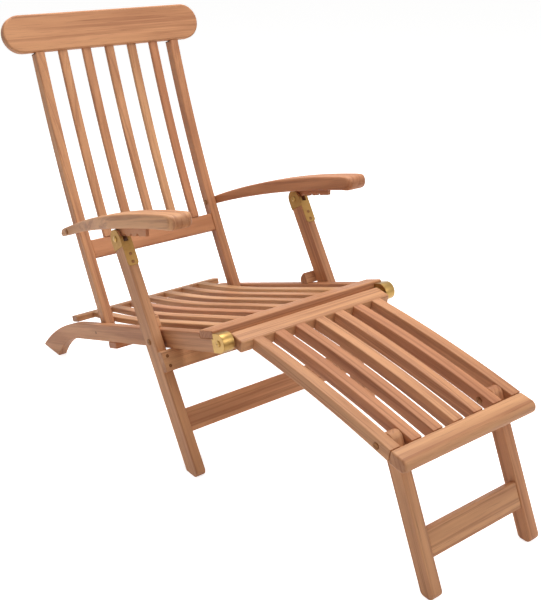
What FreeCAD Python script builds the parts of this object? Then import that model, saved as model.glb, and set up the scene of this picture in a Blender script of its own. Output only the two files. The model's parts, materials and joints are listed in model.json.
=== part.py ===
import FreeCAD, Part
import math
import os
import Sketcher

# Steamer deck chair in teak with brass fittings.
# Frame: X is across the chair (positive to the sitter's left), the sitter faces -Y, Z is up.
# The origin lies on the floor, in the middle of the ground that the opened chair covers.
# Millimetres and degrees throughout.

doc = FreeCAD.newDocument("SteamerDeckChair")
sheet = doc.addObject("Spreadsheet::Sheet", "Sizes")
Vector = FreeCAD.Vector

DRIVING = (
    # Side rails of the seat
    ("hinge_place", -183.2, "where the leg rest hinge lies, along the chair"),
    ("hinge_height", 353.4, "leg rest hinge above the floor"),
    ("rail_slope", 17.9, "fall of the seat rails towards the rear"),
    ("rail_inside", 451.4, "clear width between the seat rails"),
    ("rail_thick", 25.0, "seat rail across the chair"),
    ("rail_deep", 43.5, "seat rail, top to underside"),
    ("rail_edge", 2.5, "bevel of the seat rail's long edges"),
    ("horn_top_start", 700.0, "from the hinge to where the rail's top starts to curve down"),
    ("horn_top_bend", 640.0, "bend of the rail's top down to its foot"),
    ("horn_under_start", 735.0, "from the hinge to where the underside starts to curve down"),
    ("horn_under_bend", 260.0, "bend of the underside down to the foot"),
    ("horn_toe", 14.0, "rounding of the rear foot's toe and heel"),
    # Brass caps on the rails' front ends
    ("cap_thick", 1.6, "brass of the rail caps"),
    ("board_gap", 0.5, "between a cap's strip and the front board"),
    ("cap_reach", 24.0, "cap from the hinge back along the rail"),
    # Cross boards of the seat
    ("front_board_start", 17.5, "from the hinge to the front board's front edge"),
    ("front_board_wide", 55.0, "front board along the rail"),
    ("front_board_thick", 18.0, "front board"),
    ("front_board_rise", 6.0, "front board's top above the rails' top"),
    ("rear_rail_start", 742.0, "from the hinge to the rear rail's front face"),
    ("rear_rail_wide", 33.0, "rear rail along the seat rails"),
    ("rear_rail_thick", 17.0, "rear rail"),
    ("under_bar_start", 505.0, "from the hinge to the under-seat bar"),
    ("under_bar_wide", 42.0, "under-seat bar along the rails"),
    ("under_bar_thick", 18.0, "under-seat bar"),
    # Seat slats
    ("seat_slat_wide", 26.0, "seat slat across the chair"),
    ("seat_slat_thick", 15.0, "seat slat, top to underside"),
    ("seat_slat_step", 58.6, "from one seat slat to the next"),
    ("seat_slat_flat", 395.0, "from the hinge to where the slats start to rise"),
    ("slat_edge", 2.0, "bevel of the slats' long edges"),
    # Front legs
    ("leg_pivot_reach", 253.4, "from the hinge back to the front legs' bolt"),
    ("leg_lean", 31.8, "lean of the front legs, tops to the rear"),
    ("leg_thick", 25.7, "front leg across the chair"),
    ("leg_deep", 45.6, "front leg, front to rear"),
    ("leg_clearance", 6.6, "washer between a front leg and its rail"),
    ("leg_reach", 256.0, "front leg, from its bolt to the pin under the arm"),
    ("leg_slot_wide", 12.0, "slot in the leg's top for the arm's rack"),
    ("leg_slot_deep", 24.0, "leg slot below the pin"),
    ("leg_edge", 2.5, "bevel of the legs' and stiles' long edges"),
    ("foot_edge", 12.0, "rounding of the feet"),
    ("stretcher_low", 103.6, "front legs' stretcher, from the floor along the leg"),
    ("stretcher_wide", 55.0, "front legs' stretcher"),
    ("stretcher_thick", 20.0, "front legs' stretcher, front to rear"),
    ("stretcher_inset", 3.5, "stretcher's face behind the legs' front faces"),
    ("stop_board_wide", 47.0, "board across the front legs, below the rails"),
    ("stop_board_thick", 18.0, "board across the front legs, front to rear"),
    ("stop_gap", 0.5, "between the stop board and the rails' undersides"),
    ("stop_block_long", 30.0, "stop block behind a front leg, along the rail"),
    ("stop_block_tall", 30.0, "stop block above the rail"),
    ("saddle_thick", 1.6, "brass of the leg saddles"),
    ("saddle_cheek", 25.0, "saddle's cheeks below the pin"),
    ("saddle_strap", 74.0, "saddle's front strap below the pin"),
    ("strap_end", 8.0, "rounding of the strap's lower corners"),
    # Back
    ("back_pivot_reach", 610.0, "from the hinge back to the back's bolt"),
    ("back_lean", 28.6, "lean of the stiles' straight feet"),
    ("back_shank", 128.0, "stile from its bolt to where it starts to curve"),
    ("back_bend", 3500.0, "bend of the stiles' centre line"),
    ("back_long", 635.5, "curved length of the stiles, up to the head rail"),
    ("stile_wide", 26.4, "stile across the chair"),
    ("stile_deep", 31.4, "stile, front to rear"),
    ("stile_outside", 444.6, "over the outer faces of the stiles"),
    ("head_rail_long", 600.0, "head rail across the chair"),
    ("head_rail_wide", 100.0, "head rail, top to bottom edge"),
    ("head_rail_thick", 24.0, "head rail, front to rear"),
    ("head_rail_proud", 2.0, "head rail in front of the stiles"),
    ("head_edge", 4.0, "bevel of the head rail"),
    ("low_rail_start", 66.0, "from the stiles' straight feet to the lower back rail"),
    ("low_rail_wide", 50.0, "lower back rail, top to bottom edge"),
    ("low_rail_thick", 24.0, "lower back rail, front to rear"),
    ("back_slat_wide", 25.0, "back slat across the chair"),
    ("back_slat_thick", 13.0, "back slat, front to rear"),
    ("back_slat_step", 70.5, "from one back slat to the next"),
    ("back_slat_inset", 2.5, "back slats behind the stiles' front faces"),
    # Arms
    ("arm_pivot_reach", 280.0, "from the back's bolt up to the arm's bolt"),
    ("arm_gap", 1.5, "washer between an arm and its stile"),
    ("arm_wide", 61.0, "arm across the chair, at its front"),
    ("arm_narrow", 27.0, "arm across the chair, at the stile"),
    ("arm_stub", 35.0, "arm behind its bolt"),
    ("arm_thin", 16.0, "arm at its rear end"),
    ("arm_low", 22.3, "arm's rear end below its bolt"),
    ("arm_reach", 594.0, "arm in front of its bolt"),
    ("arm_rise", 169.7, "underside of the arm's front above its bolt"),
    ("arm_nose", 20.0, "arm's front, underside to the end of its top"),
    ("arm_nose_long", 45.0, "length of the arm's rounded nose"),
    ("arm_under_bend", 3680.0, "arch of the arm's underside"),
    ("arm_top_bend", 2550.0, "arch of the arm's top"),
    ("arm_straight", 14.0, "from the bolt forward to where the arm starts to widen"),
    ("arm_full", 330.0, "from the bolt to where the arm is at its full width"),
    ("arm_edge", 2.0, "bevel of the arms"),
    ("rack_thick", 9.0, "notched rack under the arm"),
    ("rack_ahead", 128.0, "rack in front of the pin"),
    ("rack_behind", 16.0, "rack behind the pin"),
    ("rack_clearance", 1.0, "between the rack and the pin under it"),
    ("notch_deep", 6.0, "notches in the rack"),
    ("notch_step", 30.0, "from one notch of the rack to the next"),
    # Leg rest
    ("rest_hub", 14.3, "leg rest's rear rail, round its hinge"),
    ("rest_rail_reach", 37.0, "from the hinge forward to the rear rail's front face"),
    ("rest_gap", 8.3, "between the leg rest's rear rail and a seat rail"),
    ("rest_slope", 9.2, "fall of the leg rest towards its front"),
    ("rest_long", 427.0, "leg rest slats between the two cross rails"),
    ("rest_arch", 7.2, "arch of the leg rest slats"),
    ("rest_slat_wide", 27.5, "leg rest slat across the chair"),
    ("rest_slat_thick", 28.0, "leg rest slat, top to underside"),
    ("rest_step", 57.8, "from one leg rest slat to the next"),
    ("rest_front_wide", 38.0, "leg rest's front rail, front to rear"),
    ("rest_front_thick", 30.0, "leg rest's front rail"),
    ("rest_leg_thick", 27.5, "leg rest's leg across the chair"),
    ("rest_leg_deep", 34.0, "leg rest's leg, front to rear"),
    ("rest_leg_lean", 24.2, "lean of the leg rest's legs, tops to the rear"),
    ("rest_leg_back", 35.0, "legs' bolt behind the front rail's rear face"),
    ("rest_stretcher_low", 73.6, "leg rest's stretcher, from the floor along the leg"),
    ("rest_stretcher_wide", 55.7, "leg rest's stretcher"),
    ("rest_stretcher_thick", 20.0, "leg rest's stretcher, front to rear"),
    ("rest_stretcher_inset", 2.0, "leg rest's stretcher behind the legs' front faces"),
    # Bolts, screws and their fits
    ("bolt_wide", 8.0, "bolts and pins"),
    ("bolt_fit", 0.05, "round a bolt in its hole, each side"),
    ("bolt_slack", 0.3, "between a bolt's head and a piece that turns under it"),
    ("head_wide", 15.0, "bolt heads"),
    ("head_tall", 3.0, "bolt heads"),
    ("leg_washer_wide", 22.0, "washers at the front legs"),
    ("hinge_washer_wide", 19.0, "washers at the leg rest's hinge"),
    ("washer_slack", 0.1, "on each face of a washer"),
    ("screw_wide", 8.0, "screw heads"),
    ("screw_tall", 1.2, "screw heads"),
)


class Size:
    """A length, angle or ratio that carries its number and the formula that gives it."""

    def __init__(self, value, text):
        self.value = float(value)
        self.text = text

    def __add__(self, other):
        other = size(other)
        return Size(self.value + other.value, "(%s + %s)" % (self.text, other.text))

    def __sub__(self, other):
        other = size(other)
        return Size(self.value - other.value, "(%s - %s)" % (self.text, other.text))

    def __mul__(self, other):
        other = size(other)
        return Size(self.value * other.value, "(%s * %s)" % (self.text, other.text))

    def __truediv__(self, other):
        other = size(other)
        return Size(self.value / other.value, "(%s / %s)" % (self.text, other.text))

    def __neg__(self):
        return Size(-self.value, "(0 - %s)" % self.text)

    def __radd__(self, other):
        return size(other) + self

    def __rsub__(self, other):
        return size(other) - self

    def __rmul__(self, other):
        return size(other) * self


def size(number):
    """The number itself as a Size, unless it already is one."""
    if isinstance(number, Size):
        return number
    return Size(number, "(%s)" % repr(float(number)))


def cosine(angle):
    """Cosine of an angle in degrees."""
    angle = size(angle)
    return Size(math.cos(math.radians(angle.value)), "cos(%s)" % angle.text)


def sine(angle):
    """Sine of an angle in degrees."""
    angle = size(angle)
    return Size(math.sin(math.radians(angle.value)), "sin(%s)" % angle.text)


def root(number):
    """Square root."""
    number = size(number)
    return Size(math.sqrt(number.value), "sqrt(%s)" % number.text)


def fill_sheet():
    """Write the driving dimensions into the sheet and return them as Sizes by name."""
    named = {}
    for row, (name, number, note) in enumerate(DRIVING, start=1):
        sheet.set("A%d" % row, note)
        sheet.set("B%d" % row, repr(number))
        sheet.setAlias("B%d" % row, name)
        named[name] = number
    doc.recompute()
    return {name: Size(sheet.get(name), "Sizes." + name) for name in named}


S = fill_sheet()
FULL_TURN = 360.0


def make_body(label):
    """A new body with its label."""
    body = doc.addObject("PartDesign::Body", label)
    body.Label = label
    return body


def plane_of(body, role):
    """One of the body's own origin planes."""
    for feature in body.Origin.OriginFeatures:
        if feature.Role == role:
            return feature
    raise ValueError("no plane " + role)


def new_sketch(body, role, name, lift=None):
    """A sketch on one of the body's origin planes, lifted off it along its normal."""
    sketch = body.newObject("Sketcher::SketchObject", name)
    sketch.AttachmentSupport = [(plane_of(body, role), "")]
    sketch.MapMode = "FlatFace"
    if lift is not None:
        sketch.setExpression("AttachmentOffset.Base.z", size(lift).text)
    return sketch


def bind(sketch, kind, element, point, amount):
    """Pin one coordinate of a sketch point, or one radius, to a Size."""
    if kind == "Radius":
        row = sketch.addConstraint(Sketcher.Constraint(kind, element, amount.value))
    else:
        row = sketch.addConstraint(Sketcher.Constraint(kind, element, point, amount.value))
    sketch.setExpression("Constraints[%d]" % row, amount.text)


def arc_between(start, end, radius, side):
    """Arc under half a circle from start to end; side +1 bulges to the right of the way."""
    run = end - start
    half = run.Length / 2.0
    right = Vector(run.y, -run.x, 0).normalize()
    depth = math.sqrt(max(radius * radius - half * half, 0.0))
    centre = start + run * 0.5 - right * depth * side
    first = math.atan2(start.y - centre.y, start.x - centre.x)
    last = math.atan2(end.y - centre.y, end.x - centre.x)
    circle = Part.Circle(centre, Vector(0, 0, 1), radius)
    if side > 0:
        return Part.ArcOfCircle(circle, first, last)
    return Part.ArcOfCircle(circle, last, first)


def draw_outline(sketch, corners):
    """Closed outline, run counter-clockwise. A corner is (x, y), or (x, y, radius, side) for an
    arc to the next corner, which bulges outwards for side 1 and inwards for side -1."""
    spots = [Vector(size(c[0]).value, size(c[1]).value, 0) for c in corners]
    ends = []
    for row, corner in enumerate(corners):
        start = spots[row]
        end = spots[(row + 1) % len(spots)]
        if len(corner) == 4:
            radius = size(corner[2])
            arc = arc_between(start, end, radius.value, corner[3])
            element = sketch.addGeometry(arc, False)
            bind(sketch, "Radius", element, None, radius)
            ends.append((element, 1, 2) if corner[3] > 0 else (element, 2, 1))
        else:
            ends.append((sketch.addGeometry(Part.LineSegment(start, end), False), 1, 2))
    for row, (element, first, last) in enumerate(ends):
        following, begin, _ = ends[(row + 1) % len(ends)]
        sketch.addConstraint(Sketcher.Constraint("Coincident", element, last, following, begin))
        bind(sketch, "DistanceX", element, first, size(corners[row][0]))
        bind(sketch, "DistanceY", element, first, size(corners[row][1]))


def pad(body, sketch, length, middle=True):
    """Raise a sketch to a solid, evenly to both sides or along its normal."""
    feature = body.newObject("PartDesign::Pad", "Pad")
    feature.Profile = sketch
    feature.Midplane = middle
    feature.setExpression("Length", size(length).text)
    sketch.Visibility = False
    doc.recompute()
    return feature


def pocket(body, sketch, length):
    """Cut a sketch out of the solid, evenly to both sides, and make sure that it cut."""
    before = body.Shape.Volume
    feature = body.newObject("PartDesign::Pocket", "Pocket")
    feature.Profile = sketch
    feature.Midplane = True
    feature.setExpression("Length", size(length).text)
    sketch.Visibility = False
    doc.recompute()
    if not body.Shape.Volume < before:
        raise ValueError("nothing was cut from " + body.Label)
    return feature


def drill(body, role, name, spots, wide, length, lift=None):
    """Round holes of one width through the body, square to one of its planes."""
    sketch = new_sketch(body, role, name, lift)
    for spot in spots:
        x = size(spot[0])
        y = size(spot[1])
        circle = Part.Circle(Vector(x.value, y.value, 0), Vector(0, 0, 1), wide.value / 2.0)
        element = sketch.addGeometry(circle, False)
        bind(sketch, "Radius", element, None, wide / 2)
        bind(sketch, "DistanceX", element, 3, x)
        bind(sketch, "DistanceY", element, 3, y)
    return pocket(body, sketch, length)


def edge_names(body, wanted):
    """Names of the body's edges that pass the test."""
    names = ["Edge%d" % row for row, edge in enumerate(body.Shape.Edges, start=1) if wanted(edge)]
    if not names:
        raise ValueError("no such edge on " + body.Label)
    return names


def round_edges(body, radius, wanted):
    """Fillet the edges of the body that the test wants."""
    names = edge_names(body, wanted)
    carrier = body.Tip
    feature = body.newObject("PartDesign::Fillet", "Fillet")
    feature.Base = (carrier, names)
    feature.setExpression("Radius", size(radius).text)
    doc.recompute()
    return feature


def bevel_edges(body, width, wanted):
    """Take the sharpness off the edges of the body that the test wants."""
    names = edge_names(body, wanted)
    carrier = body.Tip
    feature = body.newObject("PartDesign::Chamfer", "Bevel")
    feature.Base = (carrier, names)
    feature.setExpression("Size", size(width).text)
    doc.recompute()
    return feature


def on_face(axis, places, slack=0.01):
    """Test for edges that lie wholly in a plane square to an axis, at any of the places."""
    def wanted(edge):
        box = edge.BoundBox
        low = getattr(box, axis + "Min")
        high = getattr(box, axis + "Max")
        return any(abs(low - p) < slack and abs(high - p) < slack for p in places)
    return wanted


def long_edges(axis, places, least):
    """Test for edges in a plane square to an axis that are longer than the least length."""
    flat = on_face(axis, places)

    def wanted(edge):
        return flat(edge) and edge.Length > least
    return wanted


def above(limit):
    """Test for edges that lie wholly above a height of the body's own drawing."""
    def wanted(edge):
        return edge.BoundBox.ZMin > limit
    return wanted


def runs_along(axis):
    """Test for straight edges that run along an axis."""
    def wanted(edge):
        box = edge.BoundBox
        others = [name for name in "XYZ" if name != axis]
        return all(getattr(box, name + "Length") < 0.01 for name in others)
    return wanted


def both(first, second):
    """Test for edges that pass both tests."""
    def wanted(edge):
        return first(edge) and second(edge)
    return wanted


def put(body, x, y, z, tilt=0.0):
    """Place a body at a point of the chair, tilted about the chair's cross axis."""
    text = "create(<<placement>>; create(<<vector>>; %s; %s; %s); " \
           "create(<<rotation>>; create(<<vector>>; 1; 0; 0); %s))"
    body.setExpression("Placement", text % (size(x).text, size(y).text, size(z).text, size(tilt).text))
    doc.recompute()
    return body


GROUPS = []
GROUPED = []
SIDES = (("left", 1), ("right", -1))


def pair(label, make):
    """Two like pieces, one on each side, as one group."""
    members = [make(label + "_" + side, sign) for side, sign in SIDES]
    group = doc.addObject("Part::Compound", label)
    group.Label = label
    group.Links = members
    doc.recompute()
    GROUPS.append(group)
    GROUPED.extend(members)




HALF_RAIL = S["rail_deep"] / 2
RAIL_OUTSIDE = S["rail_inside"] + S["rail_thick"] * 2
RAIL_MIDDLE = (S["rail_inside"] + S["rail_thick"]) / 2
BOLT_HOLE = S["bolt_wide"] + S["bolt_fit"] * 2
BELOW = -S["hinge_height"]


def along_rail(reach, rise=0):
    """Point of the seat rail, from the hinge along its centre line and up from it."""
    reach = size(reach)
    rise = size(rise)
    place = reach * cosine(S["rail_slope"]) + rise * sine(S["rail_slope"])
    height = rise * cosine(S["rail_slope"]) - reach * sine(S["rail_slope"])
    return place, height


def put_on_rail(body, across):
    """Place a body that is drawn along the rail, from the hinge."""
    return put(body, across, S["hinge_place"], S["hinge_height"], -S["rail_slope"])


LEG_PLACE, LEG_DROP = along_rail(S["leg_pivot_reach"])
LEG_PIVOT = (S["hinge_place"] + LEG_PLACE, S["hinge_height"] + LEG_DROP)
BACK_PLACE, BACK_DROP = along_rail(S["back_pivot_reach"])
BACK_PIVOT = (S["hinge_place"] + BACK_PLACE, S["hinge_height"] + BACK_DROP)


def seat_rail(side, sign):
    """Side rail: a straight board that bends down to the floor behind as the rear foot."""
    body = make_body("seat_rail_" + side)
    sketch = new_sketch(body, "YZ_Plane", "Outline")
    under_cap = HALF_RAIL - S["cap_thick"]
    top_y, top_z = along_rail(S["horn_top_start"], HALF_RAIL)
    low_y, low_z = along_rail(S["horn_under_start"], -HALF_RAIL)
    top_centre_y = top_y - S["horn_top_bend"] * sine(S["rail_slope"])
    top_centre_z = top_z - S["horn_top_bend"] * cosine(S["rail_slope"])
    low_centre_y = low_y - S["horn_under_bend"] * sine(S["rail_slope"])
    low_centre_z = low_z - S["horn_under_bend"] * cosine(S["rail_slope"])
    top_bend = S["horn_top_bend"]
    low_bend = S["horn_under_bend"]
    toe = top_centre_y + root(top_bend * top_bend - (top_centre_z - BELOW) * (top_centre_z - BELOW))
    heel = low_centre_y + root(low_bend * low_bend - (low_centre_z - BELOW) * (low_centre_z - BELOW))
    draw_outline(sketch, [
        along_rail(S["cap_reach"], HALF_RAIL),
        along_rail(S["cap_reach"], under_cap),
        along_rail(0, under_cap) + (under_cap, 1),
        along_rail(-under_cap) + (under_cap, 1),
        along_rail(0, -under_cap),
        along_rail(S["cap_reach"], -under_cap),
        along_rail(S["cap_reach"], -HALF_RAIL),
        (low_y, low_z, low_bend, -1),
        (heel, BELOW),
        (toe, BELOW, top_bend, 1),
        (top_y, top_z),
    ])
    pad(body, sketch, S["rail_thick"])
    spots = [along_rail(0), along_rail(S["leg_pivot_reach"]), along_rail(S["back_pivot_reach"])]
    drill(body, "YZ_Plane", "BoltHoles", spots, BOLT_HOLE, S["rail_thick"] * 2)
    housing = new_sketch(body, "YZ_Plane", "BoardHousing")
    first = S["front_board_start"]
    last = first + S["front_board_wide"]
    bottom = HALF_RAIL + S["front_board_rise"] - S["front_board_thick"]
    draw_outline(housing, [
        along_rail(first, bottom),
        along_rail(last, bottom),
        along_rail(last, S["rail_deep"]),
        along_rail(first, S["rail_deep"]),
    ])
    pocket(body, housing, S["rail_thick"] * 2)
    round_edges(body, S["horn_toe"], both(runs_along("X"), on_face("Z", (BELOW.value,))))
    faces = (S["rail_thick"].value / 2, -S["rail_thick"].value / 2)
    bevel_edges(body, S["rail_edge"], long_edges("X", faces, S["rail_deep"].value * 2))
    put(body, RAIL_MIDDLE * sign, S["hinge_place"], S["hinge_height"])


def rail_cap(label, sign):
    """Brass cap: a strip round the rail's front end with a cheek on each face."""
    body = make_body(label)
    under_cap = HALF_RAIL - S["cap_thick"]
    sketch = new_sketch(body, "YZ_Plane", "Outline")
    draw_outline(sketch, cap_outline(HALF_RAIL, S["cap_reach"]))
    pad(body, sketch, S["rail_thick"] + S["cap_thick"] * 2)
    hollow = new_sketch(body, "YZ_Plane", "Hollow")
    draw_outline(hollow, cap_outline(under_cap, S["cap_reach"] * 2))
    pocket(body, hollow, S["rail_thick"])
    clear = new_sketch(body, "YZ_Plane", "BoardClearance")
    start = S["front_board_start"] - S["board_gap"]
    low = HALF_RAIL + S["front_board_rise"] - S["front_board_thick"] - S["board_gap"]
    far = S["cap_reach"] * 2
    draw_outline(clear, [(start, low), (far, low), (far, S["rail_deep"]), (start, S["rail_deep"])])
    pocket(body, clear, S["rail_thick"] * 2)
    drill(body, "YZ_Plane", "BoltHole", [(0, 0)], BOLT_HOLE, S["rail_thick"] * 2)
    return put_on_rail(body, RAIL_MIDDLE * sign)


def cap_outline(radius, reach):
    """A bar with one half-round end about the hinge."""
    return [(reach, radius), (0, radius, radius, 1), (-radius, 0, radius, 1), (0, -radius), (reach, -radius)]


def cross_board(label, first, last, low, high, across, edge, ends=None):
    """A flat board across the chair, drawn in the rail's direction."""
    body = make_body(label)
    sketch = new_sketch(body, "YZ_Plane", "Section")
    draw_outline(sketch, [(first, low), (last, low), (last, high), (first, high)])
    pad(body, sketch, across)
    bevel_edges(body, edge, runs_along("X"))
    if ends is not None:
        half = size(across).value / 2
        bevel_edges(body, ends, on_face("X", (half, -half)))
    put_on_rail(body, 0)


def seat_slat(number, across):
    """Dished seat slat: straight from the front board, then rising to the rear rail's top."""
    body = make_body("seat_slat_%d" % number)
    sketch = new_sketch(body, "YZ_Plane", "Outline")
    front = S["front_board_start"] + S["front_board_wide"]
    flat = S["seat_slat_flat"]
    rear = S["rear_rail_start"]
    thick = S["seat_slat_thick"]
    rise = S["rear_rail_thick"]
    run = rear - flat
    bend = (run * run + rise * rise) / (rise * 2)
    under = HALF_RAIL + bend - root((bend + thick) * (bend + thick) - run * run)
    draw_outline(sketch, [
        (rear, HALF_RAIL + rise, bend, -1),
        (flat, HALF_RAIL),
        (front, HALF_RAIL),
        (front, HALF_RAIL - thick),
        (flat, HALF_RAIL - thick, bend + thick, 1),
        (rear, under),
    ])
    pad(body, sketch, S["seat_slat_wide"])
    faces = (S["seat_slat_wide"].value / 2, -S["seat_slat_wide"].value / 2)
    upper = above((HALF_RAIL - thick / 2).value)
    bevel_edges(body, S["slat_edge"], both(long_edges("X", faces, thick.value * 2), upper))
    put_on_rail(body, across)


def stop_block(label, sign):
    """Rounded block on the rail's top behind the front leg, where the leg comes to rest."""
    body = make_body(label)
    sketch = new_sketch(body, "YZ_Plane", "Outline")
    long = S["stop_block_long"]
    tall = S["stop_block_tall"]
    lean = S["leg_lean"] - S["rail_slope"]
    skew = tall * sine(lean) / cosine(lean)
    start = S["leg_pivot_reach"] + (HALF_RAIL * sine(lean) + S["leg_deep"] / 2) / cosine(lean)
    start = start + S["stop_gap"]
    base = HALF_RAIL
    draw_outline(sketch, [
        (start + skew, base + tall),
        (start, base),
        (start + long, base),
        (start + long, base + tall / 3, long, 1),
    ])
    reach = S["rail_thick"] + S["leg_clearance"] + S["leg_thick"] / 2
    pad(body, sketch, reach)
    half = reach.value / 2
    bevel_edges(body, S["rail_edge"], on_face("X", (half * sign,)))
    return put_on_rail(body, (S["rail_inside"] / 2 + reach / 2) * sign)


def seat_frame():
    """Everything that stays still: rails, caps, boards and slats of the seat."""
    for side, sign in SIDES:
        seat_rail(side, sign)
    pair("rail_caps", rail_cap)
    pair("stop_blocks", stop_block)
    start = S["front_board_start"]
    top = HALF_RAIL + S["front_board_rise"]
    cross_board("seat_front_board", start, start + S["front_board_wide"],
                top - S["front_board_thick"], top, RAIL_OUTSIDE, S["rail_edge"])
    start = S["rear_rail_start"]
    cross_board("seat_rear_rail", start, start + S["rear_rail_wide"],
                HALF_RAIL, HALF_RAIL + S["rear_rail_thick"], RAIL_OUTSIDE, S["rail_edge"], S["rail_edge"])
    start = S["under_bar_start"]
    cross_board("seat_under_bar", start, start + S["under_bar_wide"],
                -HALF_RAIL - S["under_bar_thick"], -HALF_RAIL, RAIL_OUTSIDE, S["rail_edge"])
    for number in range(1, 8):
        seat_slat(number, S["seat_slat_step"] * (number - 4))


LEG_MIDDLE = RAIL_OUTSIDE / 2 + S["leg_clearance"] + S["leg_thick"] / 2
HALF_LEG = S["leg_deep"] / 2


def leg_floor(offset):
    """Where the floor cuts the leg, along the leg from its bolt, at an offset to the rear."""
    return (offset * sine(S["leg_lean"]) - LEG_PIVOT[1]) / cosine(S["leg_lean"])


def put_on_leg(body, across):
    """Place a body that is drawn along the front leg, from its bolt."""
    return put(body, across, LEG_PIVOT[0], LEG_PIVOT[1], -S["leg_lean"])


def front_leg(side, sign):
    """Front leg, round at its top about the pin and slotted there for the arm's rack."""
    body = make_body("front_leg_" + side)
    sketch = new_sketch(body, "YZ_Plane", "Outline")
    pin = S["leg_reach"]
    draw_outline(sketch, [
        (HALF_LEG, pin, HALF_LEG, 1),
        (0, pin + HALF_LEG, HALF_LEG, 1),
        (-HALF_LEG, pin),
        (-HALF_LEG, leg_floor(-HALF_LEG)),
        (HALF_LEG, leg_floor(HALF_LEG)),
    ])
    pad(body, sketch, S["leg_thick"])
    slot = new_sketch(body, "XZ_Plane", "Slot")
    half = S["leg_slot_wide"] / 2
    bottom = pin - S["leg_slot_deep"]
    draw_outline(slot, [(-half, bottom), (half, bottom), (half, pin + S["leg_deep"]), (-half, pin + S["leg_deep"])])
    pocket(body, slot, S["leg_deep"] * 2)
    drill(body, "YZ_Plane", "BoltHoles", [(0, 0), (0, pin)], BOLT_HOLE, S["leg_thick"] * 2)
    low = leg_floor(HALF_LEG).value

    def foot(edge):
        return runs_along("X")(edge) and edge.BoundBox.ZMax < low + 1.0
    round_edges(body, S["foot_edge"], foot)
    faces = (S["leg_thick"].value / 2, -S["leg_thick"].value / 2)
    bevel_edges(body, S["leg_edge"], long_edges("X", faces, pin.value))
    put_on_leg(body, LEG_MIDDLE * sign)


def leg_saddle(label, sign):
    """Brass saddle on the leg's top: two cheeks, and a strap down the front below the slot."""
    body = make_body(label)
    sketch = new_sketch(body, "YZ_Plane", "Outline")
    pin = S["leg_reach"]
    thick = S["saddle_thick"]
    draw_outline(sketch, [
        (HALF_LEG, pin, HALF_LEG, 1),
        (0, pin + HALF_LEG, HALF_LEG, 1),
        (-HALF_LEG, pin),
        (-HALF_LEG - thick, pin),
        (-HALF_LEG - thick, pin - S["saddle_strap"]),
        (-HALF_LEG, pin - S["saddle_strap"]),
        (-HALF_LEG, pin - S["saddle_cheek"]),
        (HALF_LEG, pin - S["saddle_cheek"]),
    ])
    pad(body, sketch, S["leg_thick"] + thick * 2)
    hollow = new_sketch(body, "YZ_Plane", "Hollow")
    draw_outline(hollow, [
        (-HALF_LEG, pin - S["leg_deep"]),
        (S["leg_deep"], pin - S["leg_deep"]),
        (S["leg_deep"], pin + S["leg_deep"]),
        (-HALF_LEG, pin + S["leg_deep"]),
    ])
    pocket(body, hollow, S["leg_thick"])
    slot = new_sketch(body, "XZ_Plane", "Slot")
    half = S["leg_slot_wide"] / 2
    draw_outline(slot, [(-half, pin - S["leg_slot_deep"]), (half, pin - S["leg_slot_deep"]),
                        (half, pin + S["leg_deep"]), (-half, pin + S["leg_deep"])])
    pocket(body, slot, S["leg_deep"] * 2)
    drill(body, "YZ_Plane", "PinHole", [(0, pin)], BOLT_HOLE, S["leg_thick"] * 2)
    end = (pin - S["saddle_strap"]).value
    round_edges(body, S["strap_end"], both(runs_along("Y"), on_face("Z", (end,))))
    return put_on_leg(body, LEG_MIDDLE * sign)


def leg_stretcher():
    """Rail between the front legs, a little above the floor."""
    body = make_body("front_leg_stretcher")
    sketch = new_sketch(body, "YZ_Plane", "Section")
    front = -HALF_LEG + S["stretcher_inset"]
    rear = front + S["stretcher_thick"]
    low = S["stretcher_low"] - LEG_PIVOT[1] / cosine(S["leg_lean"])
    high = low + S["stretcher_wide"]
    draw_outline(sketch, [(front, low), (rear, low), (rear, high), (front, high)])
    pad(body, sketch, LEG_MIDDLE * 2 - S["leg_thick"])
    bevel_edges(body, S["slat_edge"], runs_along("X"))
    put_on_leg(body, 0)


def stop_board():
    """Board across the fronts of both legs, which comes up against the rails' undersides."""
    body = make_body("front_leg_stop_board")
    sketch = new_sketch(body, "YZ_Plane", "Section")
    rear = -HALF_LEG
    front = rear - S["stop_board_thick"]
    lean = S["leg_lean"] - S["rail_slope"]
    under = -(HALF_RAIL + S["stop_gap"]) / cosine(lean)
    slope = sine(lean) / cosine(lean)
    high_rear = under + rear * slope
    high_front = under + front * slope
    low = high_front - S["stop_board_wide"]
    draw_outline(sketch, [(front, low), (rear, low), (rear, high_rear), (front, high_front)])
    pad(body, sketch, LEG_MIDDLE * 2 + S["leg_thick"])
    put_on_leg(body, 0)


def front_legs():
    """The front legs with what joins them and the brass on their tops."""
    for side, sign in SIDES:
        front_leg(side, sign)
    pair("leg_saddles", leg_saddle)
    leg_stretcher()
    stop_board()


HALF_STILE = S["stile_deep"] / 2
TURN = 180.0 / math.pi


def on_back(along, behind):
    """Point of the back at a length along its curve and behind its centre line."""
    bend = S["back_bend"]
    turn = size(along) / bend * TURN
    reach = bend + behind
    return reach * cosine(turn) - bend, S["back_shank"] + reach * sine(turn)


def put_on_back(body, across):
    """Place a body that is drawn along the stile, from the back's bolt."""
    return put(body, across, BACK_PIVOT[0], BACK_PIVOT[1], -S["back_lean"])


def curved_board(sketch, first, last, front, rear):
    """Outline of a board that follows the back's curve between two lengths."""
    bend = S["back_bend"]
    draw_outline(sketch, [
        on_back(first, rear) + (bend + rear, 1),
        on_back(last, rear),
        on_back(last, front) + (bend + front, -1),
        on_back(first, front),
    ])


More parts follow.
